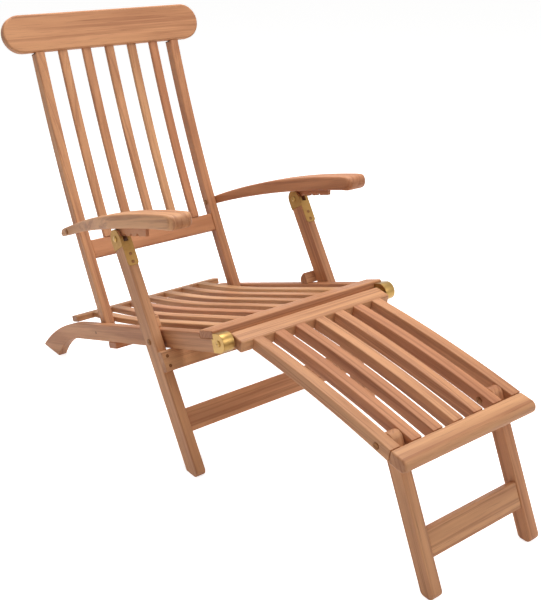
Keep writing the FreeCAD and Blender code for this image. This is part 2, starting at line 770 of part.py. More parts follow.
def back_stile(side, sign):
    """Stile: round foot about the back's bolt, straight shank, then a long gentle curve."""
    body = make_body("back_stile_" + side)
    sketch = new_sketch(body, "YZ_Plane", "Outline")
    bend = S["back_bend"]
    shank = S["back_shank"]
    last = S["back_long"]
    draw_outline(sketch, [
        (-HALF_STILE, 0, HALF_STILE, 1),
        (0, -HALF_STILE, HALF_STILE, 1),
        (HALF_STILE, 0),
        (HALF_STILE, shank, bend + HALF_STILE, 1),
        on_back(last, HALF_STILE),
        on_back(last, -HALF_STILE) + (bend - HALF_STILE, -1),
        (-HALF_STILE, shank),
    ])
    pad(body, sketch, S["stile_wide"])
    spots = [(0, 0), on_back(S["arm_pivot_reach"] - shank, size(0))]
    drill(body, "YZ_Plane", "BoltHoles", spots, BOLT_HOLE, S["stile_wide"] * 2)
    faces = (S["stile_wide"].value / 2, -S["stile_wide"].value / 2)
    bevel_edges(body, S["leg_edge"], long_edges("X", faces, shank.value - 1))
    put_on_back(body, (S["stile_outside"] - S["stile_wide"]) / 2 * sign)


def back_slat(number, across):
    """Slim curved slat between the lower back rail and the head rail."""
    body = make_body("back_slat_%d" % number)
    sketch = new_sketch(body, "YZ_Plane", "Outline")
    front = S["back_slat_inset"] - HALF_STILE
    first = S["low_rail_start"] + S["low_rail_wide"]
    curved_board(sketch, first, S["back_long"], front, front + S["back_slat_thick"])
    pad(body, sketch, S["back_slat_wide"])
    faces = (S["back_slat_wide"].value / 2, -S["back_slat_wide"].value / 2)
    bevel_edges(body, S["slat_edge"], long_edges("X", faces, S["back_slat_thick"].value * 2))
    put_on_back(body, across)


def low_back_rail():
    """Lower rail of the back, between the stiles."""
    body = make_body("back_lower_rail")
    sketch = new_sketch(body, "YZ_Plane", "Section")
    half = S["low_rail_thick"] / 2
    first = S["low_rail_start"]
    last = first + S["low_rail_wide"]
    draw_outline(sketch, [on_back(first, half), on_back(last, half), on_back(last, -half), on_back(first, -half)])
    pad(body, sketch, S["stile_outside"] - S["stile_wide"] * 2)
    put_on_back(body, 0)


def head_rail():
    """Head rail: a broad board with fully round ends, on top of stiles and slats."""
    body = make_body("head_rail")
    sketch = new_sketch(body, "XZ_Plane", "Face")
    wide = S["head_rail_wide"]
    end = wide / 2
    half = S["head_rail_long"] / 2
    draw_outline(sketch, [
        (end - half, 0),
        (half - end, 0, end, 1),
        (half, end, end, 1),
        (half - end, wide),
        (end - half, wide, end, 1),
        (-half, end, end, 1),
    ])
    pad(body, sketch, S["head_rail_thick"])
    faces = (S["head_rail_thick"].value / 2, -S["head_rail_thick"].value / 2)
    bevel_edges(body, S["head_edge"], on_face("Y", faces))
    bend = S["back_bend"]
    last = S["back_long"]
    middle = S["head_rail_thick"] / 2 - HALF_STILE - S["head_rail_proud"]
    place, height = on_back(last, middle)
    lean = S["back_lean"]
    put(body, 0, BACK_PIVOT[0] + place * cosine(lean) + height * sine(lean),
        BACK_PIVOT[1] + height * cosine(lean) - place * sine(lean), last / bend * TURN - lean)


def back():
    """The back, one frame of stiles, rails and slats."""
    for side, sign in SIDES:
        back_stile(side, sign)
    low_back_rail()
    head_rail()
    for number in range(1, 6):
        back_slat(number, S["back_slat_step"] * (number - 3))


ARM_LOCAL = on_back(S["arm_pivot_reach"] - S["back_shank"], size(0))
ARM_PIVOT = (
    BACK_PIVOT[0] + ARM_LOCAL[0] * cosine(S["back_lean"]) + ARM_LOCAL[1] * sine(S["back_lean"]),
    BACK_PIVOT[1] + ARM_LOCAL[1] * cosine(S["back_lean"]) - ARM_LOCAL[0] * sine(S["back_lean"]),
)
PIN = (
    LEG_PIVOT[0] + S["leg_reach"] * sine(S["leg_lean"]),
    LEG_PIVOT[1] + S["leg_reach"] * cosine(S["leg_lean"]),
)
ARM_MIDDLE = S["stile_outside"] / 2 + S["arm_gap"] + S["arm_wide"] / 2
ARM_REAR = (S["arm_stub"], -S["arm_low"])
ARM_FRONT = (-S["arm_reach"], S["arm_rise"])


def arch_centre(start, end, bend):
    """Centre of an arc that arches upwards from the rear point to the front point."""
    run_y = end[0] - start[0]
    run_z = end[1] - start[1]
    span = root(run_y * run_y + run_z * run_z)
    depth = root(bend * bend - span * span / 4)
    middle_y = (start[0] + end[0]) / 2
    middle_z = (start[1] + end[1]) / 2
    return middle_y - depth * run_z / span, middle_z + depth * run_y / span


def mirrored(corners):
    """The same outline on the other side of the vertical axis, still counter-clockwise."""
    turned = []
    count = len(corners)
    for row in range(count):
        corner = corners[count - 1 - row]
        before = corners[(count - 2 - row) % count]
        flipped = (-size(corner[0]), corner[1])
        turned.append(flipped + tuple(before[2:]))
    return turned


def arm(side, sign):
    """Arm: arched and swelling towards its front, slim where it meets the stile."""
    body = make_body("arm_" + side)
    sketch = new_sketch(body, "YZ_Plane", "Outline")
    front_top = (S["arm_nose_long"] - S["arm_reach"], S["arm_rise"] + S["arm_nose"])
    rear_top = (S["arm_stub"], S["arm_thin"] - S["arm_low"])
    draw_outline(sketch, [
        ARM_REAR + (S["arm_thin"] * 0.55, 1),
        rear_top + (S["arm_top_bend"], 1),
        front_top + (S["arm_nose_long"], 1),
        ARM_FRONT + (S["arm_under_bend"], -1),
    ])
    pad(body, sketch, S["arm_wide"])
    plan = new_sketch(body, "XY_Plane", "Plan")
    half = S["arm_wide"] / 2
    inner = S["arm_narrow"] - half
    beyond = S["arm_stub"] * 2
    swell = (half - inner) / 2
    start = S["arm_straight"]
    run = (S["arm_full"] - start) / 2
    bend = (run * run + swell * swell) / (swell * 2)
    taper = [
        (half, -S["arm_full"]),
        (half * 2, -S["arm_full"]),
        (half * 2, beyond),
        (inner, beyond),
        (inner, -start, bend, 1),
        (inner + swell, -start - run, bend, -1),
    ]
    draw_outline(plan, taper if sign > 0 else mirrored(taper))
    pocket(body, plan, S["arm_reach"] * 2)
    drill(body, "YZ_Plane", "BoltHole", [(0, 0)], BOLT_HOLE, S["arm_wide"] * 2)
    arm_edges(body)
    put(body, ARM_MIDDLE * sign, ARM_PIVOT[0], ARM_PIVOT[1])


def arm_edges(body):
    """Bevel the long edges of an arm's top."""
    centre = arch_centre(ARM_REAR, ARM_FRONT, S["arm_under_bend"])
    limit = (S["arm_under_bend"] + S["arm_thin"] / 2).value
    least = S["arm_full"].value * 0.4

    def wanted(edge):
        spot = edge.valueAt((edge.FirstParameter + edge.LastParameter) / 2)
        reach = math.hypot(spot.y - centre[0].value, spot.z - centre[1].value)
        return edge.Length > least and reach > limit
    bevel_edges(body, S["arm_edge"], wanted)


def arm_rack(side, sign):
    """Notched rack on the arm's underside, which runs in the slot of the leg's top."""
    body = make_body("arm_rack_" + side)
    centre = arch_centre(ARM_REAR, ARM_FRONT, S["arm_under_bend"])
    bend = S["arm_under_bend"]
    pin_y = PIN[0] - ARM_PIVOT[0]
    pin_z = PIN[1] - ARM_PIVOT[1]
    rear = pin_y + S["rack_behind"]
    front = pin_y - S["rack_ahead"]
    off_y = pin_y - centre[0]
    off_z = pin_z - centre[1]
    low_bend = root(off_y * off_y + off_z * off_z) + S["bolt_wide"] / 2 + S["rack_clearance"]

    def point(y, radius):
        run = y - centre[0]
        return y, centre[1] + root(radius * radius - run * run)
    sketch = new_sketch(body, "YZ_Plane", "Outline")
    draw_outline(sketch, [
        point(rear, low_bend),
        point(rear, bend) + (bend, 1),
        point(front, bend),
        point(front, low_bend) + (low_bend, -1),
    ])
    pad(body, sketch, S["rack_thick"])
    spots = [point(pin_y - S["notch_step"] * row, low_bend) for row in range(4)]
    drill(body, "YZ_Plane", "Notches", spots, S["notch_deep"] * 2, S["rack_thick"] * 2)
    put(body, LEG_MIDDLE * sign, ARM_PIVOT[0], ARM_PIVOT[1])
    return body


def arms():
    """Both arms with their racks."""
    for side, sign in SIDES:
        arm(side, sign)
        arm_rack(side, sign)


REST_OUTSIDE = S["rest_step"] * 6 + S["rest_slat_wide"]
HALF_ARCH = S["rest_long"] / 2
REST_BEND = (HALF_ARCH * HALF_ARCH + S["rest_arch"] * S["rest_arch"]) / (S["rest_arch"] * 2)


def put_on_rest(body, across):
    """Place a body that is drawn along the leg rest, from its hinge; front is -Y."""
    return put(body, across, S["hinge_place"], S["hinge_height"], S["rest_slope"])


def rest_rear_rail():
    """Rear rail of the leg rest, half round about the hinge."""
    body = make_body("rest_rear_rail")
    sketch = new_sketch(body, "YZ_Plane", "Section")
    hub = S["rest_hub"]
    front = -S["rest_rail_reach"]
    draw_outline(sketch, [(front, hub), (front, -hub), (0, -hub, hub, 1), (hub, 0, hub, 1), (0, hub)])
    pad(body, sketch, S["rail_inside"] - S["rest_gap"] * 2)
    drill(body, "YZ_Plane", "BoltHole", [(0, 0)], BOLT_HOLE, S["rail_inside"] * 2)
    bevel_edges(body, S["slat_edge"], both(runs_along("X"), on_face("Y", (front.value,))))
    put_on_rest(body, 0)


def rest_slat(label, across, with_bolt):
    """Long member of the leg rest, gently arched."""
    body = make_body(label)
    sketch = new_sketch(body, "YZ_Plane", "Outline")
    rear = -S["rest_rail_reach"]
    front = rear - S["rest_long"]
    top = S["rest_hub"]
    low = top - S["rest_slat_thick"]
    draw_outline(sketch, [
        (rear, top, REST_BEND, 1),
        (front, top),
        (front, low, REST_BEND, -1),
        (rear, low),
    ])
    pad(body, sketch, S["rest_slat_wide"])
    if with_bolt:
        spot = (front + S["rest_leg_back"], rest_bolt_height())
        drill(body, "YZ_Plane", "BoltHole", [spot], BOLT_HOLE, S["rest_slat_wide"] * 2)
    faces = (S["rest_slat_wide"].value / 2, -S["rest_slat_wide"].value / 2)
    upper = above((top - S["rest_slat_thick"] / 2).value)
    bevel_edges(body, S["slat_edge"], both(long_edges("X", faces, S["rest_long"].value / 2), upper))
    put_on_rest(body, across)


def rest_arch_at(back_from_front):
    """Rise of the slats' arch above its ends."""
    run = HALF_ARCH - back_from_front
    return root(REST_BEND * REST_BEND - run * run) - REST_BEND + S["rest_arch"]


def rest_bolt_height():
    """Height of the legs' bolt in the leg rest's own direction."""
    return S["rest_hub"] + rest_arch_at(S["rest_leg_back"]) - S["rest_leg_deep"] / 2


def rest_front_rail():
    """Front rail of the leg rest, with a full round nose."""
    body = make_body("rest_front_rail")
    sketch = new_sketch(body, "YZ_Plane", "Section")
    rear = -S["rest_rail_reach"] - S["rest_long"]
    top = S["rest_hub"]
    thick = S["rest_front_thick"]
    nose = thick / 2
    front = rear - S["rest_front_wide"]
    low = top - thick
    draw_outline(sketch, [
        (rear, top),
        (front + nose, top, nose, 1),
        (front, top - nose, nose, 1),
        (front + nose, low),
        (rear, low),
    ])
    pad(body, sketch, REST_OUTSIDE)
    half = REST_OUTSIDE.value / 2
    bevel_edges(body, S["head_edge"], both(on_face("X", (half, -half)), on_front(front.value + nose.value)))
    put_on_rest(body, 0)


def on_front(limit):
    """Test for edges that lie wholly in front of a limit."""
    def wanted(edge):
        return edge.BoundBox.YMax < limit + 0.01
    return wanted


REST_BOLT_LOCAL = (-S["rest_rail_reach"] - S["rest_long"] + S["rest_leg_back"], rest_bolt_height())
REST_BOLT = (
    S["hinge_place"] + REST_BOLT_LOCAL[0] * cosine(S["rest_slope"]) - REST_BOLT_LOCAL[1] * sine(S["rest_slope"]),
    S["hinge_height"] + REST_BOLT_LOCAL[0] * sine(S["rest_slope"]) + REST_BOLT_LOCAL[1] * cosine(S["rest_slope"]),
)
REST_LEG_MIDDLE = S["rest_step"] * 2.5


def rest_leg_floor(offset):
    """Where the floor cuts the leg rest's leg, along it from its bolt."""
    return (offset * sine(S["rest_leg_lean"]) - REST_BOLT[1]) / cosine(S["rest_leg_lean"])


def rest_leg(side, sign):
    """Leg of the leg rest, between the outer two long members, round about its bolt."""
    body = make_body("rest_leg_" + side)
    sketch = new_sketch(body, "YZ_Plane", "Outline")
    half = S["rest_leg_deep"] / 2
    draw_outline(sketch, [
        (half, 0, half, 1),
        (0, half, half, 1),
        (-half, 0),
        (-half, rest_leg_floor(-half)),
        (half, rest_leg_floor(half)),
    ])
    pad(body, sketch, S["rest_leg_thick"])
    drill(body, "YZ_Plane", "BoltHole", [(0, 0)], BOLT_HOLE, S["rest_leg_thick"] * 2)
    low = rest_leg_floor(half).value

    def foot(edge):
        return runs_along("X")(edge) and edge.BoundBox.ZMax < low + 1.0
    round_edges(body, S["foot_edge"], foot)
    faces = (S["rest_leg_thick"].value / 2, -S["rest_leg_thick"].value / 2)
    bevel_edges(body, S["leg_edge"], long_edges("X", faces, -low / 2))
    put(body, REST_LEG_MIDDLE * sign, REST_BOLT[0], REST_BOLT[1], -S["rest_leg_lean"])


def rest_stretcher():
    """Rail between the leg rest's legs."""
    body = make_body("rest_leg_stretcher")
    sketch = new_sketch(body, "YZ_Plane", "Section")
    front = S["rest_stretcher_inset"] - S["rest_leg_deep"] / 2
    rear = front + S["rest_stretcher_thick"]
    low = S["rest_stretcher_low"] - REST_BOLT[1] / cosine(S["rest_leg_lean"])
    high = low + S["rest_stretcher_wide"]
    draw_outline(sketch, [(front, low), (rear, low), (rear, high), (front, high)])
    pad(body, sketch, REST_LEG_MIDDLE * 2 - S["rest_leg_thick"])
    bevel_edges(body, S["slat_edge"], runs_along("X"))
    put(body, 0, REST_BOLT[0], REST_BOLT[1], -S["rest_leg_lean"])


def leg_rest():
    """The leg rest and its folding legs."""
    rest_rear_rail()
    rest_front_rail()
    rest_slat("rest_rail_left", S["rest_step"] * 3, True)
    rest_slat("rest_rail_right", S["rest_step"] * -3, True)
    for number in range(1, 6):
        rest_slat("rest_slat_%d" % number, S["rest_step"] * (number - 3), number in (1, 5))
    for side, sign in SIDES:
        rest_leg(side, sign)
    rest_stretcher()


def bolt(label, start, long, heads, place, sign=1):
    """Bolt across the chair from a start point outwards; heads says which ends have one."""
    body = make_body(label)
    sketch = new_sketch(body, "XY_Plane", "HalfSection")
    pin = S["bolt_wide"] / 2
    head = S["head_wide"] / 2
    tall = S["head_tall"]
    corners = [(0, 0)]
    if heads[0]:
        corners = [(-tall, 0)]
    if heads[1]:
        corners += [(long + tall, 0), (long + tall, head - tall), (long, head), (long, pin)]
    else:
        corners += [(long, 0), (long, pin)]
    if heads[0]:
        corners += [(0, pin), (0, head), (-tall, head - tall)]
    else:
        corners += [(0, pin)]
    draw_outline(sketch, corners)
    feature = body.newObject("PartDesign::Revolution", "Revolution")
    feature.Profile = sketch
    feature.ReferenceAxis = (sketch, ["H_Axis"])
    feature.Angle = FULL_TURN
    sketch.Visibility = False
    doc.recompute()
    turned = 0 if sign > 0 else 180
    text = "create(<<placement>>; create(<<vector>>; %s; %s; %s); " \
           "create(<<rotation>>; create(<<vector>>; 0; 0; 1); %s))"
    body.setExpression("Placement", text % (
        (size(start) * sign).text, size(place[0]).text, size(place[1]).text, turned))
    doc.recompute()
    return body


BOLT_SLACK = S["bolt_slack"]


HINGE = (S["hinge_place"], S["hinge_height"])


def hinge_bolt(label, sign):
    """Bolt of the leg rest's hinge, blind in the leg rest's rear rail."""
    inner = S["rail_inside"] / 2 - S["rest_gap"] - S["rest_rail_reach"]
    outer = RAIL_OUTSIDE / 2 + S["cap_thick"]
    return bolt(label, inner, outer - inner, (False, True), HINGE, sign)


def leg_bolt(label, sign):
    """Bolt of a front leg, flush with its rail inside."""
    inner = S["rail_inside"] / 2
    outer = LEG_MIDDLE + S["leg_thick"] / 2
    return bolt(label, inner, outer - inner, (False, True), LEG_PIVOT, sign)


def back_bolt(label, sign):
    """Bolt of the back's stile, flush with its rail outside."""
    inner = S["stile_outside"] / 2 - S["stile_wide"] - BOLT_SLACK
    outer = RAIL_OUTSIDE / 2
    return bolt(label, inner, outer - inner, (True, False), BACK_PIVOT, sign)


def arm_bolt(label, sign):
    """Bolt of an arm, through its stile."""
    inner = S["stile_outside"] / 2 - S["stile_wide"] - BOLT_SLACK
    outer = S["stile_outside"] / 2 + S["arm_gap"] + S["arm_narrow"] + BOLT_SLACK
    return bolt(label, inner, outer - inner, (True, True), ARM_PIVOT, sign)


def saddle_pin(label, sign):
    """Riveted pin across a brass saddle, under the arm."""
    inner = LEG_MIDDLE - S["leg_thick"] / 2 - S["saddle_thick"]
    return bolt(label, inner, S["leg_thick"] + S["saddle_thick"] * 2, (True, True), PIN, sign)


def rest_leg_bolt(label, sign):
    """Bolt of a leg of the leg rest, through the two long members beside it."""
    inner = REST_LEG_MIDDLE - S["rest_step"] / 2 - S["rest_slat_wide"] / 2
    return bolt(label, inner, S["rest_step"] + S["rest_slat_wide"], (True, True), REST_BOLT, sign)


def bolts():
    """Bolts and pins of all the pivots."""
    pair("hinge_bolts", hinge_bolt)
    pair("front_leg_bolts", leg_bolt)
    pair("back_bolts", back_bolt)
    pair("saddle_pins", saddle_pin)
    pair("rest_leg_bolts", rest_leg_bolt)
    for side, sign in SIDES:
        arm_bolt("arm_bolt_" + side, sign)


def washer(label, across, wide, thick, place):
    """Washer round a bolt, between two pieces that turn on each other."""
    body = make_body(label)
    sketch = new_sketch(body, "YZ_Plane", "Ring")
    for radius in (wide / 2, BOLT_HOLE / 2):
        circle = Part.Circle(Vector(0, 0, 0), Vector(0, 0, 1), radius.value)
        element = sketch.addGeometry(circle, False)
        bind(sketch, "Radius", element, None, radius)
        bind(sketch, "DistanceX", element, 3, size(0))
        bind(sketch, "DistanceY", element, 3, size(0))
    pad(body, sketch, thick)
    return put(body, across, place[0], place[1])


def leg_washer(label, sign):
    """Spacer that keeps a front leg off its rail."""
    across = (RAIL_OUTSIDE / 2 + S["leg_clearance"] / 2) * sign
    return washer(label, across, S["leg_washer_wide"], S["leg_clearance"] - S["washer_slack"] * 2, LEG_PIVOT)


def hinge_washer(label, sign):
    """Spacer between the leg rest's rear rail and a rail cap."""
    gap = S["rest_gap"] - S["cap_thick"]
    across = (S["rail_inside"] / 2 - S["rest_gap"] + gap / 2) * sign
    return washer(label, across, S["hinge_washer_wide"], gap - S["washer_slack"] * 2, HINGE)


def washers():
    """Spacers at the front legs and at the leg rest's hinge."""
    pair("front_leg_washers", leg_washer)
    pair("hinge_washers", hinge_washer)


def screw_heads(label, spots, placement):
    """A group of like screws, seated on the face that their placement gives."""
    head = S["screw_wide"].value / 2
    tall = S["screw_tall"].value
    heads = []
    for spot in spots:
        heads.append(Part.makeCone(head, head * 0.8, tall, Vector(*spot), Vector(0, 0, 1)))
    group = doc.addObject("Part::Feature", label)
    group.Label = label
    group.Shape = Part.Compound(heads)
    group.Placement = placement
    GROUPS.append(group)


def leg_face(offset):
    """Placement on the legs' front side: local X across, local Y up the leg, local Z outwards."""
    lean = S["leg_lean"].value
    turn = FreeCAD.Rotation(Vector(1, 0, 0), 90.0 - lean)
    out = turn.multVec(Vector(0, 0, offset))
    return FreeCAD.Placement(Vector(0, LEG_PIVOT[0].value, LEG_PIVOT[1].value) + out, turn)


def screws():
    """Screws that show: on the legs' front board and on the brass saddles."""
    half = HALF_LEG.value
    middle = LEG_MIDDLE.value
    lean = S["leg_lean"] - S["rail_slope"]
    board = S["stop_board_thick"].value + half
    slope = (sine(lean) / cosine(lean)).value
    high = -((HALF_RAIL + S["stop_gap"]) / cosine(lean)).value - board * slope
    wide = S["stop_board_wide"].value
    rows = (high - wide * 0.25, high - wide * 0.75)
    spots = [(sign * middle, row, 0) for side, sign in SIDES for row in rows]
    screw_heads("stop_board_screws", spots, leg_face(board))
    pin = S["leg_reach"].value
    strap = S["saddle_strap"].value
    rows = (pin - strap * 0.45, pin - strap * 0.85)
    spots = [(sign * middle, row, 0) for side, sign in SIDES for row in rows]
    screw_heads("saddle_screws", spots, leg_face(half + S["saddle_thick"].value))


def sub_parts():
    """The objects that are pieces of the chair."""
    bodies = [thing for thing in doc.Objects if thing.isDerivedFrom("PartDesign::Body")]
    return [body for body in bodies if body not in GROUPED] + GROUPS


def check_objects():
    """Stop if any object failed, or if any sub-part has no good solid."""
    doc.recompute()
    for thing in doc.Objects:
        if "Invalid" in thing.State or "Error" in thing.State:
            raise ValueError("%s failed: %s" % (thing.Label, thing.State))
    for thing in sub_parts():
        shape = thing.Shape
        if shape.isNull() or not shape.isValid() or not shape.Solids or shape.Volume <= 0:
            raise ValueError("%s has no valid solid" % thing.Label)


def write_parts():
    """One STEP file for each sub-part, named by its label."""
    os.makedirs("parts", exist_ok=True)
    for thing in sub_parts():
        thing.Shape.exportStep("parts/%s.step" % thing.Label)


def build():
    """The whole chair."""
    seat_frame()
    front_legs()
    back()
    arms()
    leg_rest()
    bolts()
    washers()
    screws()
    check_objects()
    write_parts()


build()
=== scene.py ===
import json
import math

import bmesh
import bpy
import numpy as np
from mathutils import Matrix


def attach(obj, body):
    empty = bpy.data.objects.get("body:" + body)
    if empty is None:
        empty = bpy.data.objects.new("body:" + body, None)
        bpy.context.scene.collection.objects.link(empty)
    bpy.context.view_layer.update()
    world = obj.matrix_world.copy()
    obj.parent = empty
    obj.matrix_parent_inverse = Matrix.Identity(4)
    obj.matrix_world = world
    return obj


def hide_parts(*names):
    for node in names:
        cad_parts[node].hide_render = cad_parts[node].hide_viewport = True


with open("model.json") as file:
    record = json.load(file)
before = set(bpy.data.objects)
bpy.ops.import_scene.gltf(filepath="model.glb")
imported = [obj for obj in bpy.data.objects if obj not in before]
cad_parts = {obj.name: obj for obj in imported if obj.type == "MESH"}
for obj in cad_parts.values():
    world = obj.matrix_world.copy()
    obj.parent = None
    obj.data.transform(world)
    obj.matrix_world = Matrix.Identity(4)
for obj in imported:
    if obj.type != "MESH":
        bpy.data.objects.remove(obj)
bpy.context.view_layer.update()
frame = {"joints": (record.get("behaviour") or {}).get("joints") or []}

bl_info = {
    "name": "Steamer deck chair",
    "version": (1, 0, 0),
    "blender": (4, 5, 0),
    "location": "3D View > Sidebar > Deck chair",
    "description": "Dresses a folding teak deck chair with solid wood boards and brass fittings",
    "category": "Object",
}

MM = 0.001
DEGREE = math.pi / 180.0
SIDES = (("left", 1.0), ("right", -1.0))
FACES = (-1.0, 1.0)
ACROSS = (1.0, 0.0, 0.0)
SEAT_SLATS, BACK_SLATS, REST_SLATS, NOTCHES = 7, 5, 5, 4
# Chance for the boards' grain and the heads' slots, the same on each run.
DRAW = np.random.default_rng(41)


def linear(code):
    """Linear colour of an sRGB hex value: c / 12.92 below 0.04045, else ((c + 0.055) / 1.055) ** 2.4."""
    parts = [int(code[place:place + 2], 16) / 255.0 for place in (0, 2, 4)]
    return tuple(c / 12.92 if c <= 0.04045 else ((c + 0.055) / 1.055) ** 2.4 for c in parts)


def length(name, millimetres, description):
    """A length property, given in millimetres."""
    return bpy.props.FloatProperty(
        name=name, description=description, default=millimetres * MM, unit="LENGTH", precision=4)


def angle(name, degrees, description):
    """An angle property, given in degrees."""
    return bpy.props.FloatProperty(
        name=name, description=description, default=degrees * DEGREE, unit="ROTATION")


def colour(name, code, description):
    """A colour property, given as an sRGB hex value."""
    return bpy.props.FloatVectorProperty(
        name=name, description=description, size=3, subtype="COLOR", min=0.0, max=1.0, default=linear(code))


def number(name, value, description):
    """A plain number property."""
    return bpy.props.FloatProperty(name=name, description=description, default=value)


def pair(name, values, description):
    """A property of two plain numbers."""
    return bpy.props.FloatVectorProperty(name=name, description=description, size=2, default=values)


class DeckSeat(bpy.types.PropertyGroup):
    """Side rails, cross boards and slats of the seat."""
    slope: angle("Slope", 17.9, "Fall of the seat rails towards the rear")
    inside: length("Clear width", 451.4, "Between the side rails")
    thick: length("Rail thickness", 25.0, "Side rail across the chair")
    deep: length("Rail depth", 43.5, "Side rail, top to underside")
    horn_top: length("Horn top start", 700.0, "Hinge to where the rail's top curves down")
    horn_top_bend: length("Horn top bend", 640.0, "Bend of the rail's top down to its foot")
    horn_under: length("Horn underside start", 735.0, "Hinge to where the underside curves down")
    horn_under_bend: length("Horn underside bend", 260.0, "Bend of the underside down to the foot")
    board_start: length("Front board start", 17.5, "Hinge to the front board")
    board_wide: length("Front board width", 55.0, "Front board along the rails")
    board_thick: length("Front board thickness", 18.0, "Front board")
    board_rise: length("Front board rise", 6.0, "Front board's top above the rails")
    rear_start: length("Rear rail start", 742.0, "Hinge to the rear rail")
    rear_wide: length("Rear rail width", 33.0, "Rear rail along the side rails")
    rear_thick: length("Rear rail thickness", 17.0, "Rear rail")
    rear_short: length("Rear rail set back", 12.0, "Rear rail's ends inside the rails' outer faces")
    bar_start: length("Under bar start", 505.0, "Hinge to the bar under the seat")
    bar_wide: length("Under bar width", 42.0, "Bar under the seat")
    bar_thick: length("Under bar thickness", 18.0, "Bar under the seat")
    slat_wide: length("Slat width", 26.0, "Seat slat across the chair")
    slat_thick: length("Slat thickness", 15.0, "Seat slat")
    slat_step: length("Slat step", 58.6, "From one seat slat to the next")
    slat_flat: length("Slat flat", 395.0, "Hinge to where the slats start to rise")
    block_long: length("Block length", 30.0, "Stop block along the rail")
    block_tall: length("Block height", 30.0, "Stop block above the rail")
    block_face: length("Block face", 10.0, "Upright face at the rear of a stop block")
    gap: length("Stop gap", 0.5, "Between stops and what they stop")


class DeckLegs(bpy.types.PropertyGroup):
    """Front legs and what joins them."""
    lean: angle("Lean", 31.8, "Lean of the front legs, tops to the rear")
    thick: length("Leg thickness", 25.7, "Front leg across the chair")
    deep: length("Leg depth", 45.6, "Front leg, front to rear")
    off_rail: length("Gap at the rail", 6.6, "Washer between a leg and its rail")
    reach: length("Reach", 256.0, "From the leg's bolt to the pin under the arm")
    slot_wide: length("Slot width", 12.0, "Slot in the leg's top")
    slot_deep: length("Slot depth", 14.0, "Leg slot below the pin")
    foot: length("Foot rounding", 12.0, "Rounding of the feet")
    rail_low: length("Stretcher height", 97.0, "Stretcher, from the floor along the leg")
    rail_wide: length("Stretcher width", 55.0, "Stretcher up the leg")
    rail_thick: length("Stretcher thickness", 20.0, "Stretcher, front to rear")
    rail_inset: length("Stretcher inset", 3.5, "Stretcher behind the legs' front faces")
    stop_wide: length("Stop board width", 47.0, "Board across the front legs")
    stop_thick: length("Stop board thickness", 18.0, "Board across the front legs")


class DeckBack(bpy.types.PropertyGroup):
    """Stiles, slats and rails of the back."""
    lean: angle("Lean", 28.6, "Lean of the stiles' straight feet")
    shank: length("Shank", 128.0, "Stile from its bolt to its curve")
    bend: length("Bend", 3500.0, "Bend of the stiles")
    long: length("Curved length", 635.5, "Curved length of the stiles")
    stile_wide: length("Stile width", 26.4, "Stile across the chair")
    stile_deep: length("Stile depth", 31.4, "Stile, front to rear")
    outside: length("Outside width", 444.6, "Over the outer faces of the stiles")
    head_long: length("Head rail length", 600.0, "Head rail across the chair")
    head_wide: length("Head rail width", 100.0, "Head rail, top to bottom edge")
    head_thick: length("Head rail thickness", 24.0, "Head rail, front to rear")
    head_proud: length("Head rail proud", 2.0, "Head rail in front of the stiles")
    low_start: length("Lower rail start", 66.0, "From the stiles' shanks to the lower rail")
    low_wide: length("Lower rail width", 50.0, "Lower back rail")
    low_thick: length("Lower rail thickness", 24.0, "Lower back rail")
    slat_wide: length("Slat width", 25.0, "Back slat across the chair")
    slat_thick: length("Slat thickness", 13.0, "Back slat, front to rear")
    slat_step: length("Slat step", 70.5, "From one back slat to the next")
    slat_inset: length("Slat inset", 2.5, "Slats behind the stiles' front faces")


class DeckArms(bpy.types.PropertyGroup):
    """Arms and their racks."""
    gap: length("Gap at the stile", 1.5, "Between an arm and its stile")
    wide: length("Width", 61.0, "Arm across the chair, at its front")
    narrow: length("Rear width", 27.0, "Arm across the chair, at the stile")
    stub: length("Stub", 35.0, "Arm behind its bolt")
    thin: length("Rear thickness", 16.0, "Arm at its rear end")
    low: length("Rear drop", 22.3, "Arm's rear end below its bolt")
    reach: length("Reach", 594.0, "Arm in front of its bolt")
    rise: length("Rise", 169.7, "Underside of the arm's front above its bolt")
    nose: length("Nose", 20.0, "Arm's front, underside to the end of its top")
    nose_long: length("Nose length", 45.0, "Length of the arm's rounded nose")
    under_bend: length("Underside bend", 3680.0, "Arch of the arm's underside")
    top_bend: length("Top bend", 2550.0, "Arch of the arm's top")
    straight: length("Straight", 14.0, "From the bolt to where the arm starts to widen")
    full: length("Full width from", 330.0, "From the bolt to where the arm is at its full width")
    over: length("Upper allowance", 4.0, "Wood above the arch of the arm's top")
    below: length("Lower allowance", 1.5, "Wood below the arch of the arm's underside")
    front_round: length("Front end", 20.0, "Length over which the arm's front rounds off")
    rear_round: length("Rear end", 8.0, "Length over which the arm's rear rounds off")
    droop: length("Droop", 4.0, "Drop of the arm's front end")
    droop_long: length("Droop length", 48.0, "Length over which the front end drops")
    corner: length("Front corners", 22.0, "Rounding of the arm's front corners, from above")
    corner_long: length("Corner length", 60.0, "Length along the arm that its front corners take")
    rack_thick: length("Rack thickness", 9.0, "Notched rack under the arm")
    rack_ahead: length("Rack ahead", 128.0, "Rack in front of the pin")
    rack_behind: length("Rack behind", 16.0, "Rack behind the pin")
    rack_gap: length("Rack gap", 1.0, "Between the rack and the pin under it")
    notch: length("Notch", 6.0, "Radius of the rack's notches")
    notch_step: length("Notch step", 30.0, "From one notch to the next")


